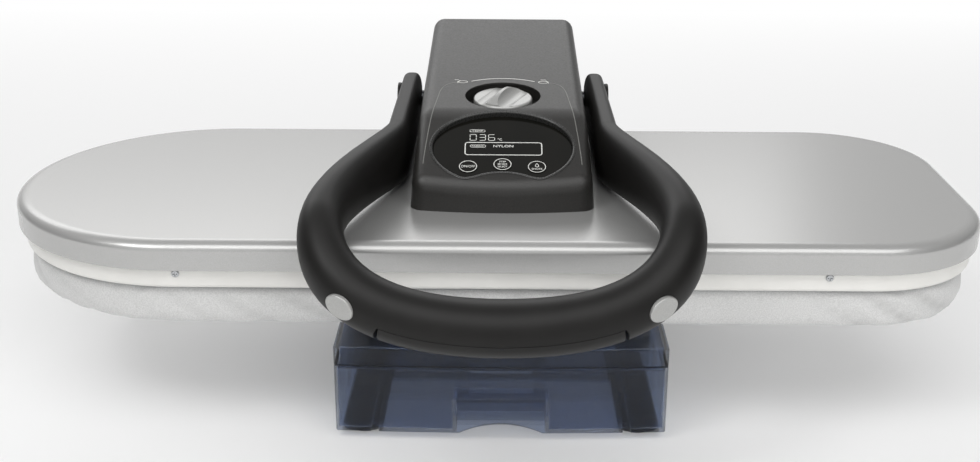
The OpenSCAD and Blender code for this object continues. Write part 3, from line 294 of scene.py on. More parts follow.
# %% [markdown]
# ## The studio
# Four soft lights: one behind the press, which its roof and cover mirror, one above, one on the left and
# one in front that shows in no mirror image. The surround looks white to the camera, and so does the paper of
# the floor where it runs into the distance. For the press itself the surround is dimmer overhead and at the
# sides. The camera stands in front and looks down by twenty degrees.


# %% Surround
def surround():
    world = bpy.data.worlds.new("studio")
    world.use_nodes = True
    bpy.context.scene.world = world
    towards = add(world, "SeparateXYZ", {"Vector": add(world, "TexCoord").outputs["Generated"]}).outputs

    def combine(operation, a, b):
        return add(world, "Math", {0: a, 1: b}, operation=operation).outputs[0]
    # dim overhead and at both sides, as with black flags, and stronger on the left than on the right
    overhead = ramp(world, towards["Z"], 0.6, 0.8, 0.7, 0.4)
    sides = ramp(world, combine("MULTIPLY", towards["X"], towards["X"]), 0.2, 0.7, 1.0, 0.2)
    strength = combine("MULTIPLY", overhead, sides)
    strength = combine("MULTIPLY", strength, ramp(world, towards["X"], -0.5, 0.5, 1.12, 0.72))
    # the camera itself sees the surround as white
    seen = add(world, "LightPath").outputs["Is Camera Ray"]
    back = world.node_tree.nodes["Background"]
    back.inputs["Color"].default_value = (1, 1, 1, 1)
    world.node_tree.links.new(combine("MAXIMUM", strength, seen), back.inputs["Strength"])


# %% Lights, floor and camera
AIM = Vector((0, 0, 0.1))


def softbox(name, place, size, radiance, mirrored=True):
    """A lamp aimed at the press. All sizes of the studio are in metres."""
    lamp = bpy.data.lights.new(name, "AREA")
    lamp.shape = "RECTANGLE"
    lamp.size, lamp.size_y = size
    lamp.energy = radiance * pi * size[0] * size[1]
    light = new_object(name, lamp)
    light.location = place
    light.rotation_euler = (AIM - light.location).to_track_quat("-Z", "Y").to_euler()
    light.visible_glossy = mirrored


def paper_floor():
    """Pale paper that turns to glowing white behind the press, so that no horizon shows."""
    paper = material("floor_paper", "#f2f2f2", Roughness=0.7, Specular_IOR_Level=0.2)
    where = add(paper, "SeparateXYZ", {"Vector": place_of(paper)})
    glow = add(paper, "Emission", {"Color": (1, 1, 1, 1), "Strength": 1.0})
    shader, output = (paper.node_tree.nodes[name] for name in ("Principled BSDF", "Material Output"))
    blend = add(paper, "MixShader", {"Fac": ramp(paper, where.outputs["Y"], 0.25, 1.3, 0.2),
        1: shader.outputs[0], 2: glow.outputs[0]})
    paper.node_tree.links.new(blend.outputs[0], output.inputs["Surface"])
    bm = bmesh.new()
    bmesh.ops.create_grid(bm, x_segments=1, y_segments=1, size=6)
    mesh = to_mesh("floor", bm)
    mesh.materials.append(paper)
    floor = new_object("floor", mesh)


def camera():
    eye = new_object("camera", bpy.data.cameras.new("camera"))
    eye.location = (0.009, -0.88889, 0.4302)
    # the picture was taken with the camera a third of a degree off level
    down, roll = Matrix.Rotation(radians(69.5), 3, "X"), Matrix.Rotation(radians(0.38), 3, "Z")
    eye.rotation_euler = (down @ roll).to_euler()
    eye.data.lens = 48.73
    eye.data.sensor_width = 36
    eye.data.shift_x = -0.0123
    bpy.context.scene.camera = eye


surround()
bpy.context.scene.view_settings.view_transform = "Standard"
softbox("rear_light", (-0.5, 2.0, 1.4), (2.75, 0.9), 1.5)
softbox("top_light", (0, -0.85, 1.8), (2.8, 1.3), 2.0)
softbox("left_light", (-1.2, -0.9, 1.8), (0.6, 0.6), 5.0)
softbox("front_light", (0.9, -1.8, 0.8), (1.4, 1.0), 2.4, False)
paper_floor()
camera()
print("studio ready")

# %% [markdown]
# ## Tools for making pieces
# Each piece starts as a few Blender operators on a small mesh: a cube with rounded corners, an outline that
# is extruded, or rings that are bridged. `hand_in` turns the mesh into an object in the frame.


# %% Pieces of the frame
def settle(name, mesh, mat, body, replaces, sharp):
    """Makes a mesh a piece that rides on a body. Edges above the angle in degrees are shaded sharp."""
    mesh.materials.clear()
    mesh.materials.append(mat)
    mesh.shade_smooth()
    mesh.set_sharp_from_angle(angle=radians(sharp))
    piece = new_object(name, mesh)
    even = piece.modifiers.new("even shading", "WEIGHTED_NORMAL")
    even.keep_sharp = True
    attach(piece, body)
    if replaces:
        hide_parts(*replaces)


def hand_in(name, bm, mat, body, replaces=(), sharp=38):
    bmesh.ops.recalc_face_normals(bm, faces=bm.faces)
    bm.transform(TO_FRAME)
    settle(name, to_mesh(name, bm), mat, body, replaces, sharp)



# %% Places, edges and outlines
def move(x, y, z):
    return Matrix.Translation((x, y, z))


def spin(degrees, axis):
    return Matrix.Rotation(radians(degrees), 4, axis)


def turned(bm, matrix):
    bm.transform(matrix)
    return bm


def upright(edge, limit=0.99):
    return abs((edge.verts[1].co - edge.verts[0].co).normalized().z) > limit


def at_level(edge, z):
    return all(abs(v.co.z - z) < 1e-3 for v in edge.verts)


def only(kind, geom):
    return [g for g in geom if isinstance(g, kind)]


def bevel(bm, edges, radius, segments):
    bmesh.ops.bevel(bm, geom=list(edges), offset=radius, segments=segments, profile=0.5, affect="EDGES",
        clamp_overlap=False, material=-1)


def round_edges(bm, z, radius, segments):
    """Bevels every edge that lies at that height."""
    bevel(bm, [e for e in bm.edges if at_level(e, z)], radius, segments)


def oval(rx, ry, count, x=0.0, y=0.0):
    """Points round an ellipse with those two radii about a middle."""
    angles = [2 * pi * k / count for k in range(count)]
    return [(x + rx * cos(a), y + ry * sin(a)) for a in angles]


def bezier(a, b, c, d, t):
    return (1 - t) ** 3 * a + 3 * t * (1 - t) ** 2 * b + 3 * t * t * (1 - t) * c + t ** 3 * d


# %% Solids
def box(lo, hi):
    lo, hi = Vector(lo), Vector(hi)
    bm = bmesh.new()
    place = Matrix.Translation((lo + hi) / 2) @ Matrix.Diagonal((hi - lo).to_4d())
    bmesh.ops.create_cube(bm, size=1, matrix=place)
    return bm


def disc(r, z0, z1, segments):
    bm = bmesh.new()
    bmesh.ops.create_cone(bm, cap_ends=True, segments=segments, radius1=r, radius2=r, depth=z1 - z0,
        matrix=move(0, 0, (z0 + z1) / 2))
    return bm


def loop_of(bm, points):
    """One closed ring of edges through the points."""
    verts = [bm.verts.new(p) for p in points]
    return [bm.edges.new((verts[k], verts[(k + 1) % len(verts)])) for k in range(len(verts))]


def loft(rings, capped=True):
    """Extrudes the first ring once for each ring after it, and each new corner moves to its place there."""
    bm = bmesh.new()
    edges = loop_of(bm, rings[0])
    corners = list(bm.verts)
    if capped:
        bmesh.ops.contextual_create(bm, geom=edges)
    for ring in rings[1:]:
        grown = bmesh.ops.extrude_edge_only(bm, edges=edges)["geom"]
        fresh = set(only(BMVert, grown))
        edges = [e for e in only(BMEdge, grown) if fresh.issuperset(e.verts)]
        corners = [next(e.other_vert(v) for e in v.link_edges if e.other_vert(v) in fresh) for v in corners]
        for v, p in zip(corners, ring):
            v.co = p
    if capped:
        bmesh.ops.contextual_create(bm, geom=edges)
    bmesh.ops.recalc_face_normals(bm, faces=bm.faces)
    return bm


def prism(points, height):
    """A flat outline in X and Y, extruded up by the height."""
    return loft([[(x, y, z) for x, y in points] for z in (0, height)])


def join(bm, other):
    """Adds another mesh to the first."""
    mesh = to_mesh("joined", other)
    bm.from_mesh(mesh)
    bpy.data.meshes.remove(mesh)
    return bm


def carve(bm, *tools, how="DIFFERENCE"):
    """Cuts the tools away from the first mesh, or combines them with it in another way."""
    body, *cutters = [new_object("carving", to_mesh("carving", source)) for source in (bm, *tools)]
    for cutter in cutters:
        cut = body.modifiers.new("cut", "BOOLEAN")
        cut.operation, cut.solver, cut.object = how, "EXACT", cutter
    result = final_mesh(body)
    for o in (body, *cutters):
        old = o.data
        bpy.data.objects.remove(o)
        bpy.data.meshes.remove(old)
    out = from_mesh(result)
    bpy.data.meshes.remove(result)
    return out


def hollow(bm, wall, open_z):
    """Takes the face at that level off, and gives the rest a wall that grows inwards."""
    bmesh.ops.recalc_face_normals(bm, faces=bm.faces)
    lid = [f for f in bm.faces if abs(f.calc_center_median().z - open_z) < 0.01 and abs(f.normal.z) > 0.9]
    bmesh.ops.delete(bm, geom=lid, context="FACES_ONLY")
    bmesh.ops.solidify(bm, geom=bm.faces, thickness=wall)
    return bm


# %% CAD parts with softer edges
def dress(node, width, mat, angle=30):
    """A copy of a CAD part whose edges are broken with a small bevel, as a mould or a file leaves them."""
    bm = from_mesh(NODES[node].data)
    bmesh.ops.remove_doubles(bm, verts=bm.verts, dist=2e-6)
    bmesh.ops.dissolve_limit(bm, angle_limit=radians(1), verts=bm.verts, edges=bm.edges)
    hard = [e for e in bm.edges if e.is_manifold and e.calc_face_angle(0) > radians(angle)]
    bevel(bm, hard, width / 1000, 2)
    name = node + "_dressed"
    body = NODES[node]["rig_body"]
    settle(name, to_mesh(name, bm), mat, body, (node,), 50)


# %% [markdown]
# ## Cover and skirt of the heated plate
# The cover is a pressed sheet with a round nose and a squarer tail. A cube gives it: its two left edges are
# bevelled by half its width, which makes the nose, the right ones by less, and the top edge by 9 mm. The
# white skirt has the same outline, a little smaller.

# %% Cover and skirt
LEFT_END, RIGHT_END, HALF = -339, 321, 131.5
# a hair less than half the width, so that the nose's two arcs don't meet in one point
NOSE_R, TAIL_R = 131.48, 85
COVER_FOOT, TOP = 115.5, 134.0
RIM, RIM_DROP = 9, 6
SKIRT_IN, SKIRT_FOOT = 4, 102


def platen(inset, z0, z1):
    """A slab with the cover's outline, drawn in by the inset."""
    bm = box((LEFT_END + inset, -HALF + inset, z0), (RIGHT_END - inset, HALF - inset, z1))
    bevel(bm, [e for e in bm.edges if upright(e) and e.verts[0].co.x < 0], NOSE_R - inset, 48)
    tail = [e for e in bm.edges if upright(e) and e.verts[0].co.x > RIGHT_END - 1 - inset
        and abs(e.verts[0].co.y) > HALF - 0.5 - inset]
    bevel(bm, tail, TAIL_R - inset, 20)
    bmesh.ops.remove_doubles(bm, verts=bm.verts, dist=0.05)
    return bm


def cover():
    bm = platen(0, COVER_FOOT, TOP)
    round_edges(bm, TOP, RIM, 10)
    # the rim is flatter than round
    for v in bm.verts:
        if v.co.z > TOP - RIM - 1:
            v.co.z = TOP - (TOP - v.co.z) * RIM_DROP / RIM
    hollow(bm, 1.8, COVER_FOOT)
    hand_in("platen_cover_sheet", bm, silver_lacquer, "head", ["platen_cover"], 60)


def skirt():
    bm = platen(SKIRT_IN, SKIRT_FOOT, 120.5)
    round_edges(bm, SKIRT_FOOT, 3, 5)
    bmesh.ops.recalc_face_normals(bm, faces=bm.faces)
    ends = [f for f in bm.faces if abs(f.normal.z) > 0.9 and f.calc_area() > 9000]
    bmesh.ops.delete(bm, geom=ends, context="FACES_ONLY")
    bmesh.ops.solidify(bm, geom=bm.faces, thickness=2.3)
    hand_in("platen_skirt_moulding", bm, white_abs, "head", ["platen_skirt"], 60)


cover()
skirt()
print("cover and skirt made")

# %% [markdown]
# Each skirt screw has a round head with a cross recess. The recess is cut by two crossed bars.


# %% Skirt screws
def cross_screw(r, height, length, shank):
    """A screw that points down, with its head's top at the height."""
    bm = disc(r, 0, height, 32)
    round_edges(bm, height, height * 0.6, 4)
    reach, half, floor = r * 0.62, r * 0.16, height * 0.35
    bars = [box((-a, -b, floor), (a, b, height + 1)) for a, b in ((reach, half), (half, reach))]
    return join(carve(bm, *bars), disc(shank, -length, 0.1, 20))


def skirt_screws():
    bm = bmesh.new()
    front = HALF - SKIRT_IN
    places = [(x, s * front, 0 if s < 0 else 180) for x in (-205, 206) for s in (-1, 1)]
    places += [(LEFT_END + SKIRT_IN, 0, -90), (RIGHT_END - SKIRT_IN, 0, 90)]
    for x, y, turn in places:
        # the head lies against the skirt and looks outwards
        screw = cross_screw(r=2.5, height=1.4, length=9, shank=1.4)
        join(bm, turned(screw, move(x, y, 112.3) @ spin(turn, "Z") @ spin(90, "X")))
    hand_in("skirt_screws_crosshead", bm, turned_steel, "head", ["skirt_screws"])


skirt_screws()
print("skirt screws made")

# %% [markdown]
# ## The padded board
# The pad's cotton cover is drawn over foam and gathered under the board. It starts as a rounded slab, a cloth
# simulation swells it a little, and long shallow folds run slantwise down its side, with shade painted into
# their valleys.

# %% Pad cover
PAD_IN, PAD_FOOT, PAD_TOP = 7.9, 75.2, 101.2
# in metres: the mesh's fineness, how far the cloth may swell, and how high it may rise
VOXEL, SWELL, PAD_LIMIT = 0.0045, 0.0012, 0.1016
CLOTH_STEPS = 20


def pad_slab():
    """The pad's shape before any cloth has moved, in an even mesh."""
    bm = platen(PAD_IN, PAD_FOOT, PAD_TOP)
    round_edges(bm, PAD_TOP, 4, 4)
    round_edges(bm, PAD_FOOT, 5.5, 4)
    # the hem hangs lower than the middle of the underside, which clears the filler cap
    under = [f for f in bm.faces if f.normal.z < -0.99 or abs(f.calc_center_median().z - PAD_FOOT) < 0.01]
    bmesh.ops.inset_region(bm, faces=under, thickness=10)
    bmesh.ops.inset_region(bm, faces=under, thickness=8, depth=-3.6)
    bmesh.ops.recalc_face_normals(bm, faces=bm.faces)
    pad = new_object("pad_cloth", to_mesh("pad_cloth", turned(bm, TO_FRAME)))
    even = pad.modifiers.new("remesh", "REMESH")
    even.mode, even.voxel_size = "VOXEL", VOXEL
    mesh = final_mesh(pad)
    pad.modifiers.clear()
    pad.data = mesh
    return pad


def swollen(pad):
    """Where light pressure from inside would push each point of the cloth."""
    cloth = pad.modifiers.new("cloth", "CLOTH")
    cloth.settings.quality = 5
    cloth.settings.use_pressure = True
    cloth.settings.uniform_pressure_force = 4
    cloth.settings.effector_weights.gravity = 0
    cloth.point_cache.frame_end = CLOTH_STEPS
    scene = bpy.context.scene
    for number in range(1, CLOTH_STEPS + 1):
        scene.frame_set(number)
    places = [v.co.copy() for v in final_mesh(pad).vertices]
    pad.modifiers.clear()
    scene.frame_set(1)
    return places


def crease(mesh, start, goal):
    """Moves the cloth towards its goal, lays folds round its side and stores painted shade for their valleys.
    """
    facing = [v.normal.copy() for v in mesh.vertices]
    # painted shade for the valleys between folds, kept in a point attribute that the cloth's material reads
    depth = mesh.attributes.new("painted_valley_shade", "FLOAT", "POINT").data
    for v, s, g, n in zip(mesh.vertices, start, goal, facing):
        # the cloth may swell a little, but not sink onto the metal pan inside
        v.co = s + n * max(0.0, min(SWELL, (g - s).dot(n)))
        x, y, z = v.co * 1000
        side = max(0.0, min(1.0, (101 - z) / 7, (z - 74) / 5))
        lean = noise(Vector((x * 0.014 + z * 0.022, y * 0.02, 3.1)))
        # groups of slanting folds with smooth cloth between them; the ridges stand out from the pan
        group = max(0.0, min(1.0, 2.2 * noise(Vector((x * 0.009, y * 0.009, 5.3))) + 0.3))
        wave = sin(x * 0.17 + z * 0.28 + 2.5 * noise(Vector((x * 0.012, y * 0.02, 7.7))))
        ridge = group * max(0.0, wave)
        # painted shade: how dark the cloth is painted in the valley between two folds
        depth[v.index].value = 0.5 * group * side * max(0.0, -wave) ** 3
        # short tucks at the hem
        tuck = max(0.0, noise(Vector((x * 0.06, y * 0.09, 11)))) * max(0.0, (86 - z) / 10)
        # outwards from the board's middle line, which ends 0.2 m left and 0.24 m right of the middle
        out = Vector((s.x - max(-0.2, min(0.24, s.x)), s.y, 0))
        out = out.normalized() if out.length > 0.05 else Vector()
        v.co += out * (0.0006 * lean + 0.0026 * ridge) * side + Vector((0, 0, 0.0022 * tuck))
        v.co.z = min(v.co.z, PAD_LIMIT)


def pad_cover():
    pad = pad_slab()
    mesh = pad.data
    start = [v.co.copy() for v in mesh.vertices]
    goal = start
    goal = swollen(pad)
    crease(mesh, start, goal)
    smooth = from_mesh(mesh)
    bmesh.ops.smooth_vert(smooth, verts=smooth.verts, factor=0.3, use_axis_x=True, use_axis_y=True,
        use_axis_z=True)
    smooth.to_mesh(mesh)
    smooth.free()
    mesh.materials.clear()
    mesh.materials.append(heather_cotton)
    mesh.shade_smooth()
    finer = pad.modifiers.new("finer", "SUBSURF")
    finer.levels = finer.render_levels = 1
    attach(pad, "base")
    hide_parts("pad_cover")


pad_cover()
print("pad cover made")

# %% [markdown]
# ## Control housing
# The housing is one moulding: a low nose, a sloping panel and a roof that rises to the rear. Its side view is
# drawn once and extruded across, the edges are rounded, and the wells for panel and dial are cut out.

# %% Housing planes
SLOPE, ROOF = 24.2277, 9.51422
LIP, BROW = (-63.0, 157.0), (-3.0, 184.0)
PANEL = move(0, -36.0983, 169.106) @ spin(SLOPE, "X")
GLASS = PANEL @ move(0, -30, -0.6) @ spin(-2.6, "X") @ move(0, 30, 0)
WELL = move(0, 24.8121, 188.6613) @ spin(ROOF, "X")
DIAL = WELL @ spin(-4.3, "X")
# the handle's cross shaft, which runs along the X axis of the machine
SHAFT = move(0, 118, 162) @ spin(90, "Y")
OVAL_X, OVAL_UP, OVAL_DOWN = 47.5, 36, 37
BOW_R, BOW_TOP, SOFT = 42, -24.8, 6
HOUSING_HALF, STRIPS, LEAN_IN, NOSE_BOW = 61.5, 12, 0.07, 6


def panel_outline(grow):
    """The egg-shaped panel with its foot bowed up, as points in the panel's own plane."""
    points = []
    count = 128
    for k in range(count):
        a = 2 * pi * k / count
        x = (OVAL_X + grow) * cos(a)
        y = ((OVAL_UP if a < pi else OVAL_DOWN) + grow) * sin(a)
        # the bow: a circle that comes up from below
        r = BOW_R - grow
        if abs(x) < r:
            bow = BOW_TOP - BOW_R + math.sqrt(r * r - x * x)
            # a soft maximum, which rounds the corner between oval and bow
            soft = max(0.0, SOFT - abs(y - bow)) / SOFT
            y = max(y, bow) + soft * soft * 1.5
        points.append((x, y))
    return points


def well_oval(grow):
    return oval(27 + grow, 23 + grow, 96)


def side_line(shell, side):
    """A fine, slightly raised crease line whose lighter grey is a painted highlight; it runs from beside the
    arc down to the lip, laid on the surface under it.
    """
    turn = [Vector(p) for p in ((30, 47.5), (41, 47.5), (44.6, 40), (45.8, 27))]
    run = [Vector(p) for p in ((45.8, 27), (47.6, 8), (51.5, -18), (53.2, -52))]
    plan = [bezier(*turn, k / 10) for k in range(10)] + [bezier(*run, k / 24) for k in range(25)]
    surface = BVHTree.FromBMesh(shell)
    rings = []
    for k, p in enumerate(plan):
        d = (plan[min(k + 1, len(plan) - 1)] - plan[max(k - 1, 0)]).normalized()
        beside = Vector((d.y, -d.x))
        ring = []
        for off, lift in ((-0.35, -0.05), (-0.3, 0.08), (0.3, 0.08), (0.35, -0.05)):
            q = p + beside * off
            hit = surface.ray_cast(Vector((q.x * side, q.y, 300)), Vector((0, 0, -1)))[0]
            ring.append(hit + Vector((0, 0, lift)))
        rings.append(ring)
    return loft(rings)


# %% Housing
def housing_block():
    """The housing as a closed block with rounded edges."""
    bm = bmesh.new()
    profile = [(-66.5, TOP), (-66.5, 155.42), BROW, (180, 214.67), (180, TOP)]
    ring = loop_of(bm, [(-HOUSING_HALF, y, z) for y, z in profile])
    face = bmesh.ops.contextual_create(bm, geom=ring)["faces"]
    for k in range(STRIPS):
        grown = bmesh.ops.extrude_face_region(bm, geom=face)["geom"]
        face = only(BMFace, grown)
        bmesh.ops.translate(bm, vec=(2 * HOUSING_HALF / STRIPS, 0, 0), verts=only(BMVert, grown))
    inner = [f for f in bm.faces if abs(f.normal.x) > 0.9
        and abs(f.calc_center_median().x) < HOUSING_HALF - 0.5]
    bmesh.ops.delete(bm, geom=inner, context="FACES_ONLY")
    bmesh.ops.recalc_face_normals(bm, faces=bm.faces)
    # the walls lean in, and the nose bows forwards
    for v in bm.verts:
        x, y, z = v.co
        s = x / HOUSING_HALF
        v.co.x = s * (HOUSING_HALF - LEAN_IN * (z - TOP))
        if y < -60:
            v.co.y = y - NOSE_BOW * (1 - s * s)
            if z > 140:
                v.co.z = LIP[1] + (v.co.y - LIP[0]) * math.tan(radians(SLOPE))

    def of_bow(e):
        """One of the upright edges between the strips of the nose."""
        return all(v.co.y < -66 for v in e.verts) and abs(e.verts[0].co.x) < 60 and upright(e, 0.9)
    rim = [e for e in bm.edges
        if e.calc_face_angle(0) > radians(6) and not at_level(e, TOP) and not of_bow(e)]
    bevel(bm, rim, 8, 5)
    return bm


def housing():
    shell = hollow(housing_block(), 2.5, TOP)
    shell = carve(shell, turned(prism(panel_outline(1.5), 24), PANEL @ move(0, 0, -12)),
        turned(prism(well_oval(0), 22), WELL @ move(0, 0, -9.5)),
        turned(disc(8, -90, 90, 48), SHAFT),
        box((-45.5, 132.5, 131), (45.5, 190, 150)))
    # the well that the dial sits in: a cup with a floor
    cup = turned(prism(well_oval(2), 10.2), move(0, 0, -11.5))
    cup = carve(cup, turned(prism(well_oval(0), 22), move(0, 0, -9.5)), disc(3.6, -14, 0, 32))
    shell = join(shell, turned(cup, WELL))
    # the crease lines each side of the panel: raised a little, their lighter grey a painted highlight
    lines = join(side_line(shell, -1), side_line(shell, 1))
    hand_in("housing_side_lines", lines, painted_crease_highlight, "head")
    hand_in("housing_moulding", shell, housing_abs, "head", ["housing_shell"], 32)


housing()
print("housing made")

# %% [markdown]
# ## Panel
# A thin bezel frames the panel, the black window lies sunk inside it, and three buttons fill its holes.

# %% Bezel and window
# each pair is how far out from the panel's outline, and how high
BEZEL = [(2.2, 0), (2.2, 0.25), (1.9, 0.5), (1.4, 0.55), (0.7, 0.3), (0.1, -0.2), (0, -0.6), (0, -5.5),
    (-2.4, -5.5), (-2.4, -9), (1.2, -9), (1.2, 0)]
# the middles of the buttons in the window's plane
KEYS = (("left", -23, -19.8), ("middle", 0, -17.3), ("right", 23, -19.8))
KEY_TOP = 0.6


def bezel():
    bm = loft([[(x, y, z) for x, y in panel_outline(g)] for g, z in BEZEL + BEZEL[:1]], False)
    bmesh.ops.remove_doubles(bm, verts=bm.verts, dist=0.001)
    hand_in("panel_bezel_frame", turned(bm, PANEL), satin_abs, "head", ["panel_bezel"])


def window():
    bm = turned(prism(panel_outline(-0.25), 1.6), move(0, 0, -1.6))
    round_edges(bm, 0, 0.4, 2)
    bm = carve(bm, *[turned(disc(6.5, -5, 5, 48), move(x, y, 0)) for _, x, y in KEYS])
    hand_in("panel_window_glass", turned(bm, GLASS), gloss_acrylic, "head", ["panel_window"])


def panel_buttons():
    for name, x, y in KEYS:
        bm = disc(6.2, -2.6, KEY_TOP, 64)
        round_edges(bm, KEY_TOP, 0.4, 3)
        join(bm, disc(2.5, -8.2, -2.5, 24))
        hand_in("button_" + name + "_cap", turned(bm, GLASS @ move(x, y, 0)), gloss_acrylic, name + "_key",
            ["button_" + name])


bezel()
window()
panel_buttons()
print("bezel, window and buttons made")

# %% [markdown]
# The print is raised by less than a tenth of a millimetre, so that it reads as ink. Letters are made as text
# and turned into mesh, and lines are strips of flat faces with some thickness.

# %% Ways to print
INK = 0.06


def thicken(bm):
    grown = bmesh.ops.extrude_face_region(bm, geom=bm.faces)["geom"]
    bmesh.ops.translate(bm, vec=(0, 0, INK), verts=only(BMVert, grown))
    return bm


def letters(text, x, y, width, height, bold=0.0):
    """Text whose box has that middle and that size."""
    curve = bpy.data.curves.new("text", "FONT")
    curve.body = text
    curve.offset = bold
    curve.resolution_u = 4
    o = new_object("text", curve)
    mesh = final_mesh(o)
    bpy.data.objects.remove(o)
    bpy.data.curves.remove(curve)
    bm = from_mesh(mesh)
    bpy.data.meshes.remove(mesh)
    xs = [v.co.x for v in bm.verts]
    ys = [v.co.y for v in bm.verts]
    size = Matrix.Diagonal((width / (max(xs) - min(xs)), height / (max(ys) - min(ys)), 1, 1))
    bm.transform(move(x, y, 0) @ size @ move(-(max(xs) + min(xs)) / 2, -(max(ys) + min(ys)) / 2, 0))
    return thicken(bm)


def stroke(points, width, closed=False):
    """A flat line of that width through the points."""
    bm = bmesh.new()
    rows = []
    n = len(points)
    for k, p in enumerate(points):
        a = Vector(points[k - 1] if closed or k else p)
        b = Vector(points[(k + 1) % n] if closed or k < n - 1 else p)
        d = (b - a).normalized()
        side = Vector((-d.y, d.x)) * width / 2
        rows.append([bm.verts.new((p[0] + side.x * s, p[1] + side.y * s, 0)) for s in (-1, 1)])
    for k in range(n if closed else n - 1):
        a, b = rows[k], rows[(k + 1) % n]
        bmesh.ops.contextual_create(bm, geom=[a[0], a[1], b[1], b[0]])
    return thicken(bm)


def rounded(x0, x1, y0, y1, r):
    """A rectangle with round corners, each of six steps."""
    corners = [(x1 - r, y1 - r, 0), (x0 + r, y1 - r, 90), (x0 + r, y0 + r, 180), (x1 - r, y0 + r, 270)]
    return [(x + r * cos(radians(a + 90 * k / 6)), y + r * sin(radians(a + 90 * k / 6)))
        for x, y, a in corners for k in range(7)]


def seven_segments(digit, x, y, w, h, t):
    """A display digit whose box has its lower left corner there."""
    ends = {"a": [(0, 1), (1, 1)], "b": [(1, 1), (1, 0.5)], "c": [(1, 0.5), (1, 0)], "d": [(0, 0), (1, 0)],
        "e": [(0, 0.5), (0, 0)], "f": [(0, 1), (0, 0.5)], "g": [(0, 0.5), (1, 0.5)]}
    lit = {"0": "abcdef", "3": "abgcd", "6": "afgedc"}[digit]
    bm = bmesh.new()
    for name in lit:
        a, b = (Vector((x + ex * w, y + ey * h)) for ex, ey in ends[name])
        gap = (b - a).normalized() * t * 0.6
        join(bm, stroke([a + gap, b - gap], t))
    return bm


def drop(x, y, h):
    """A water drop, for the steam button."""
    angles = [2 * pi * k / 24 for k in range(24)]
    return [(x + h * 0.42 * sin(a) * sin(a / 2) ** 1.2, y + h * 0.5 * cos(a)) for a in angles]


# %% Printed markings
BOLD = 0.01


def panel_print():
    """The display: a temperature with its label above, and a frame with a fabric's name and its label."""
    bm = stroke(rounded(-22.6, -12.2, 18.2, 20.6, 1.1), 0.4, True)
    join(bm, letters("TEMP", -17.4, 19.4, 7.6, 1.5))
    for k, digit in enumerate("036"):
        join(bm, seven_segments(digit, -22.3 + 6.3 * k, 8.9, 4.2, 6.4, 0.5))
    join(bm, letters("°C", -1.9, 10.0, 3.0, 2.4, BOLD))
    join(bm, stroke(rounded(-25.4, 26.6, -6.8, 6.6, 2.0), 0.7, True))
    join(bm, stroke(rounded(-22.0, -11.6, 1.3, 3.9, 1.2), 0.4, True))
    join(bm, letters("FABRIC", -16.8, 2.6, 8.0, 1.5))
    join(bm, letters("NYLON", 0.5, 2.7, 13.6, 2.5, BOLD))
    hand_in("panel_print", turned(bm, GLASS @ move(0, 0, 0.01)), print_ink, "head")


def button_prints():
    """A ring on each button, and in it words or a drop."""
    marks = {name: stroke(oval(5.75, 5.75, 48), 0.5, True) for name, _, _ in KEYS}
    join(marks["left"], letters("ON/OFF", 0, 0, 9.4, 2.4))
    for text, y, width in (("STEP", 2.6, 4.6), ("MODE", 0, 6.2), ("SELECT", -2.6, 6.4)):
        join(marks["middle"], letters(text, 0, y, width, 1.6, BOLD))
    join(marks["right"], stroke(drop(0, 1.5, 3.6), 0.45, True))
    join(marks["right"], letters("SHOTS", 0, -2.2, 7.0, 1.7, BOLD))
    for name, x, y in KEYS:
        bm = turned(marks[name], GLASS @ move(x, y, KEY_TOP + 0.01))
        hand_in("button_" + name + "_print", bm, print_ink, name + "_key")


def dial_print():
    """The arc behind the dial, a low mark on its left and a high mark on its right, in the roof's plane."""
    xs = [-23 + 46 * k / 24 for k in range(25)]
    bm = stroke([(x, 25 + 5.4 * (1 - (x / 23) ** 2)) for x in xs], 0.75)
    foot, thin = 23.8, 0.55
    for s in (-1, 1):
        join(bm, stroke(oval(3.6, 1.9, 20, s * 29.5, foot), thin, True))
        join(bm, stroke([(s * 33.2, foot - 2), (s * 31.4, foot + 2.8)], thin))
    join(bm, stroke([(-35.5, 27.6), (-32.4, 27.6)], thin))
    join(bm, stroke([(27.5, 28.0), (31.5, 28.0)], thin))
    hand_in("dial_print", turned(bm, WELL @ move(0, 0, 0.01)), print_ink, "head")


panel_print()
button_prints()
dial_print()
print("print made")

# %% [markdown]
# ## Dial
# A silver knob: a disc with a rounded rim, and a grip bar across it that turns with the hand.

# %% Temperature dial
DISC_TOP = -1.1


def dial():
    bm = disc(21, -7.1, DISC_TOP, 96)
    round_edges(bm, DISC_TOP, 1.6, 5)
    # a low dome, in which two troughs leave a crest for the fingers
    dome = bmesh.new()
    bmesh.ops.create_uvsphere(dome, u_segments=96, v_segments=96, radius=40, matrix=move(0, 0, -35.5))
    bm = carve(bm, carve(disc(19.2, -6, 4.6, 96), dome, how="INTERSECT"), how="UNION")
    turn = spin(66, "Z")
    for s in (-1, 1):
        trough = turned(disc(8.5, -30, 30, 96), turn @ move(0, s * 9.43, 6.62) @ spin(90, "Y"))
        near, far = sorted((s * 9.5, s * 26))
        beyond = turned(box((-30, near, DISC_TOP + 0.02), (30, far, 10)), turn)
        bm = carve(bm, trough, beyond)
    bm = carve(bm, disc(3.05, -9, -2.6, 32))
    hand_in("dial_knob", turned(bm, DIAL), silver_abs, "dial", ["temperature_dial"], 30)


dial()
print("dial made")

# %% [markdown]
# ## Handle
# The loop is one long sweep: two flat arms, a neck on each side and a round grip in front. Its middle line is
# a straight piece and two Bezier curves, and its section changes from a flat rounded bar to a full oval.

# %% Handle path and section
ARM_END = Vector((-71.4, 118, 160.3))
ARM_FRONT = Vector((-73.1, -4.8, TOP + 23.6))
WIDE = Vector((-108.7, -HALF - 15.6, TOP + 19.5))
GRIP = Vector((0, -204.3, TOP - 22.9))
WIDE_DIR = Vector((0, -0.984, -0.177))
ARM_DIR = (ARM_FRONT - ARM_END).normalized()
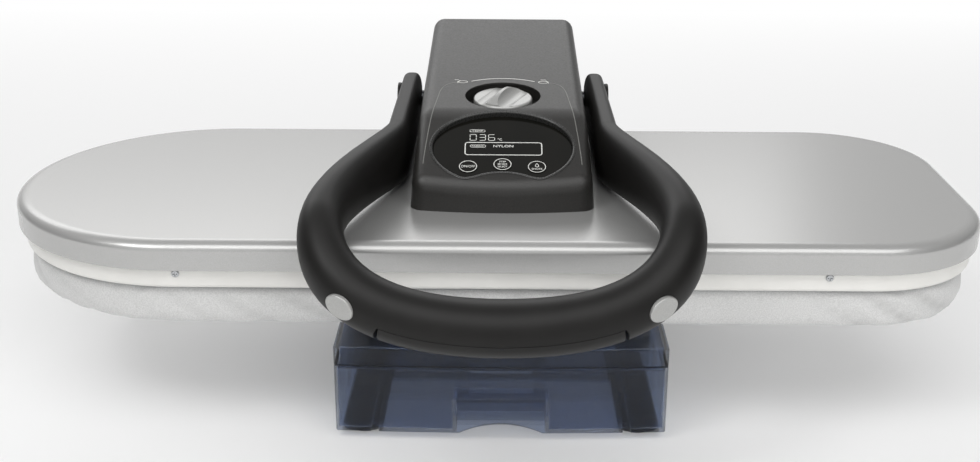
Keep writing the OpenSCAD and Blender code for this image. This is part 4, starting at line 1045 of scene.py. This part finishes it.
# Along the path, 0 is the arm's rear end, 1 its front, 2 the widest place and 3 the grip's middle.
# Each table gives a measure at such places.
ROLL = [(0, 0), (1, 0), (2, 6.4), (3, 6.4)]
WIDTH = [(0, 15.8), (1, 15.8), (2, 26.4), (3, 37.9)]
HEIGHT = [(0, 44), (1, 44), (2, 34.4), (3, 32.8)]
SQUARENESS = [(0, 3.4), (1, 3.2), (1.8, 2.2), (3, 2)]
STEAM_AT = 2.585


def path_at(u):
    if u <= 1:
        return ARM_END.lerp(ARM_FRONT, u)
    if u <= 2:
        return bezier(ARM_FRONT, ARM_FRONT + ARM_DIR * 24, WIDE - WIDE_DIR * 46.5, WIDE, u - 1)
    return bezier(WIDE, WIDE + WIDE_DIR * 28, GRIP - Vector((103, 0, 0)), GRIP, u - 2)


def path_dir(u):
    if u > 2.98:
        return Vector((1, 0, 0))
    return (path_at(u + 0.01) - path_at(max(u - 0.01, 0))).normalized()


def between(u, table):
    for (a, va), (b, vb) in zip(table, table[1:]):
        if u <= b:
            return va + (vb - va) * (u - a) / (b - a)
    return table[-1][1]


def across(u):
    """The section's two directions: outwards and upwards."""
    side = path_dir(u).cross(Vector((0, 0, 1))).normalized()
    lift = side.cross(path_dir(u))
    roll = radians(between(u, ROLL))
    return side * cos(roll) - lift * sin(roll), lift * cos(roll) + side * sin(roll)


def section(u, lo=-99, hi=99, k=1.0, back=0.0):
    """One ring of the handle. lo and hi trim it to a seam, k shrinks it and back shifts it rearwards."""
    e, w, h = between(u, SQUARENESS), between(u, WIDTH), between(u, HEIGHT)
    out, up = across(u)
    ring = []
    for j in range(48):
        a = 2 * pi * j / 48
        x = math.copysign(abs(cos(a)) ** (2 / e), cos(a)) * w / 2 * (0.55 + 0.45 * k)
        z = math.copysign(abs(sin(a)) ** (2 / e), sin(a)) * h / 2 * k
        ring.append(path_at(u) - path_dir(u) * back + x * out + max(lo, min(hi, z)) * up)
    return ring


def both_halves(half):
    """Adds the mirrored rings of the right half to those of the left."""
    return half + [[Vector((-p.x, p.y, p.z)) for p in ring] for ring in reversed(half[:-1])]


def steam_place(s):
    """The plane of a steam button, with its axis outwards. s is -1 on the left and 1 on the right."""
    out, up = across(STEAM_AT)
    n = out * cos(radians(2)) + up * sin(radians(2))
    t = path_dir(STEAM_AT)
    m = Matrix((t, n.cross(t), n)).transposed().to_4x4()
    m.translation = path_at(STEAM_AT) + n * between(STEAM_AT, WIDTH) / 2
    return m if s < 0 else Matrix.Diagonal((-1, 1, 1, 1)) @ m


def pill(grow):
    return oval(9.5 + grow, 7 + grow, 64)


# %% Loop, grip and steam buttons
def handle():
    # the arm's end is rounded by rings that shrink rearwards
    half = [section(0, k=math.sqrt(1 - k * k), back=k * 16) for k in (0.98, 0.93, 0.85, 0.72, 0.55, 0.3)]
    half += [section(k / 8) for k in range(9)] + [section(1 + k / 20) for k in range(1, 21)]
    half += [section(2 + 0.04 * k) for k in range(1, 18)] + [section(2.712)]
    # from here on the underside belongs to the grip's cover
    half += [section(2.72 + 0.28 * k / 10, lo=-1.5) for k in range(11)]
    bm = loft(both_halves(half))
    cuts = [turned(prism(pill(0.3), 30), steam_place(s) @ move(0, 0, -9)) for s in (-1, 1)]
    for c in cuts:
        bmesh.ops.recalc_face_normals(c, faces=c.faces)
    bm = carve(bm, *cuts, turned(disc(6.02, -90, 90, 48), SHAFT))
    hand_in("handle_skin", bm, handle_abs, "handle", ["handle_loop"], 35)


def grip_underside():
    bm = loft(both_halves([section(2.724 + 0.276 * k / 10, hi=-1.65) for k in range(11)]))
    hand_in("grip_underside", bm, handle_abs, "handle", ["grip_cover"], 35)


def steam_buttons():
    for s, name in ((-1, "left"), (1, "right")):
        bm = turned(prism(pill(0), 8), move(0, 0, -6.8))
        round_edges(bm, 1.2, 0.9, 4)
        top = [f for f in bm.faces if f.normal.z > 0.9 and f.calc_area() > 100]
        bmesh.ops.inset_region(bm, faces=top, thickness=1.2, depth=0)
        bmesh.ops.inset_region(bm, faces=top, thickness=1.0, depth=-0.35)
        hand_in("steam_button_" + name + "_cap", turned(bm, steam_place(s)), silver_abs, name + "_steam_key",
            ["steam_button_" + name])


handle()
grip_underside()
steam_buttons()
print("handle and steam buttons made")

# %% [markdown]
# ## Water tank
# Smoked polycarbonate: the wall is thin and clear, so what stands behind it shows through. Its edges are
# rounded a little so that they catch the light.

# %% Tank
for name in ("tank_body", "tank_lid"):
    dress(name, 0.8, smoked_polycarbonate, 40)
print("tank made")

# %% [markdown]
# ## The rest
# These parts keep the CAD shape. Those that show get their edges broken by a small bevel, and those deep
# inside keep their mesh and get only the surface of what they are made of.

# %% Dressed CAD parts
# each with the bevel's width in millimetres
DRESSED = {
    "base_housing": (0.6, charcoal_abs), "tower_cover": (0.6, charcoal_abs),
    "cord_gland": (0.5, charcoal_abs), "filler_cap": (0.5, charcoal_abs),
    "housing_base": (0.4, charcoal_abs), "pivot_caps": (0.6, handle_abs),
    "base_plate": (0.3, zinc_steel), "hinge_tower": (0.4, zinc_steel),
    "board_brackets": (0.5, zinc_steel), "board_pan": (0.3, zinc_steel),
    "arm_frame": (0.5, zinc_steel), "handle_crank": (0.4, zinc_steel),
    "toggle_link": (0.5, zinc_steel), "cross_shaft": (0.5, blackened_steel),
    "hinge_pins": (0.4, turned_steel), "tower_bolts": (0.3, turned_steel),
    "rubber_feet": (0.5, black_rubber), "heating_plate": (0.4, cast_aluminium),
}
for name, (width, mat) in DRESSED.items():
    dress(name, width, mat)

# %% Repainted CAD parts
REPAINTED = {
    "base_screws": turned_steel, "pin_clips": turned_steel, "hinge_springs": turned_steel,
    "link_pin": turned_steel, "board_screws": turned_steel, "arm_screws": turned_steel,
    "plate_studs": turned_steel, "heating_element": zinc_steel, "hinge_bushes": bronze,
    "shaft_bushes": bronze, "steam_inlet": bronze, "steam_pump": white_abs, "terminal_block": white_abs,
    "thermostat": white_abs, "tank_socket": charcoal_abs, "tank_valve": charcoal_abs,
    "display_module": charcoal_abs, "dial_encoder": charcoal_abs, "control_board": circuit_lacquer,
    "pump_mounts": black_rubber, "socket_seal": black_rubber, "lid_seal": black_rubber,
    "feed_hose": milky_silicone, "foam_pad": open_foam, "insulation_mat": felt_wool,
}
for name, mat in REPAINTED.items():
    NODES[name].data.materials.clear()
    NODES[name].data.materials.append(mat)
print("dressed", len(DRESSED), "and repainted", len(REPAINTED))
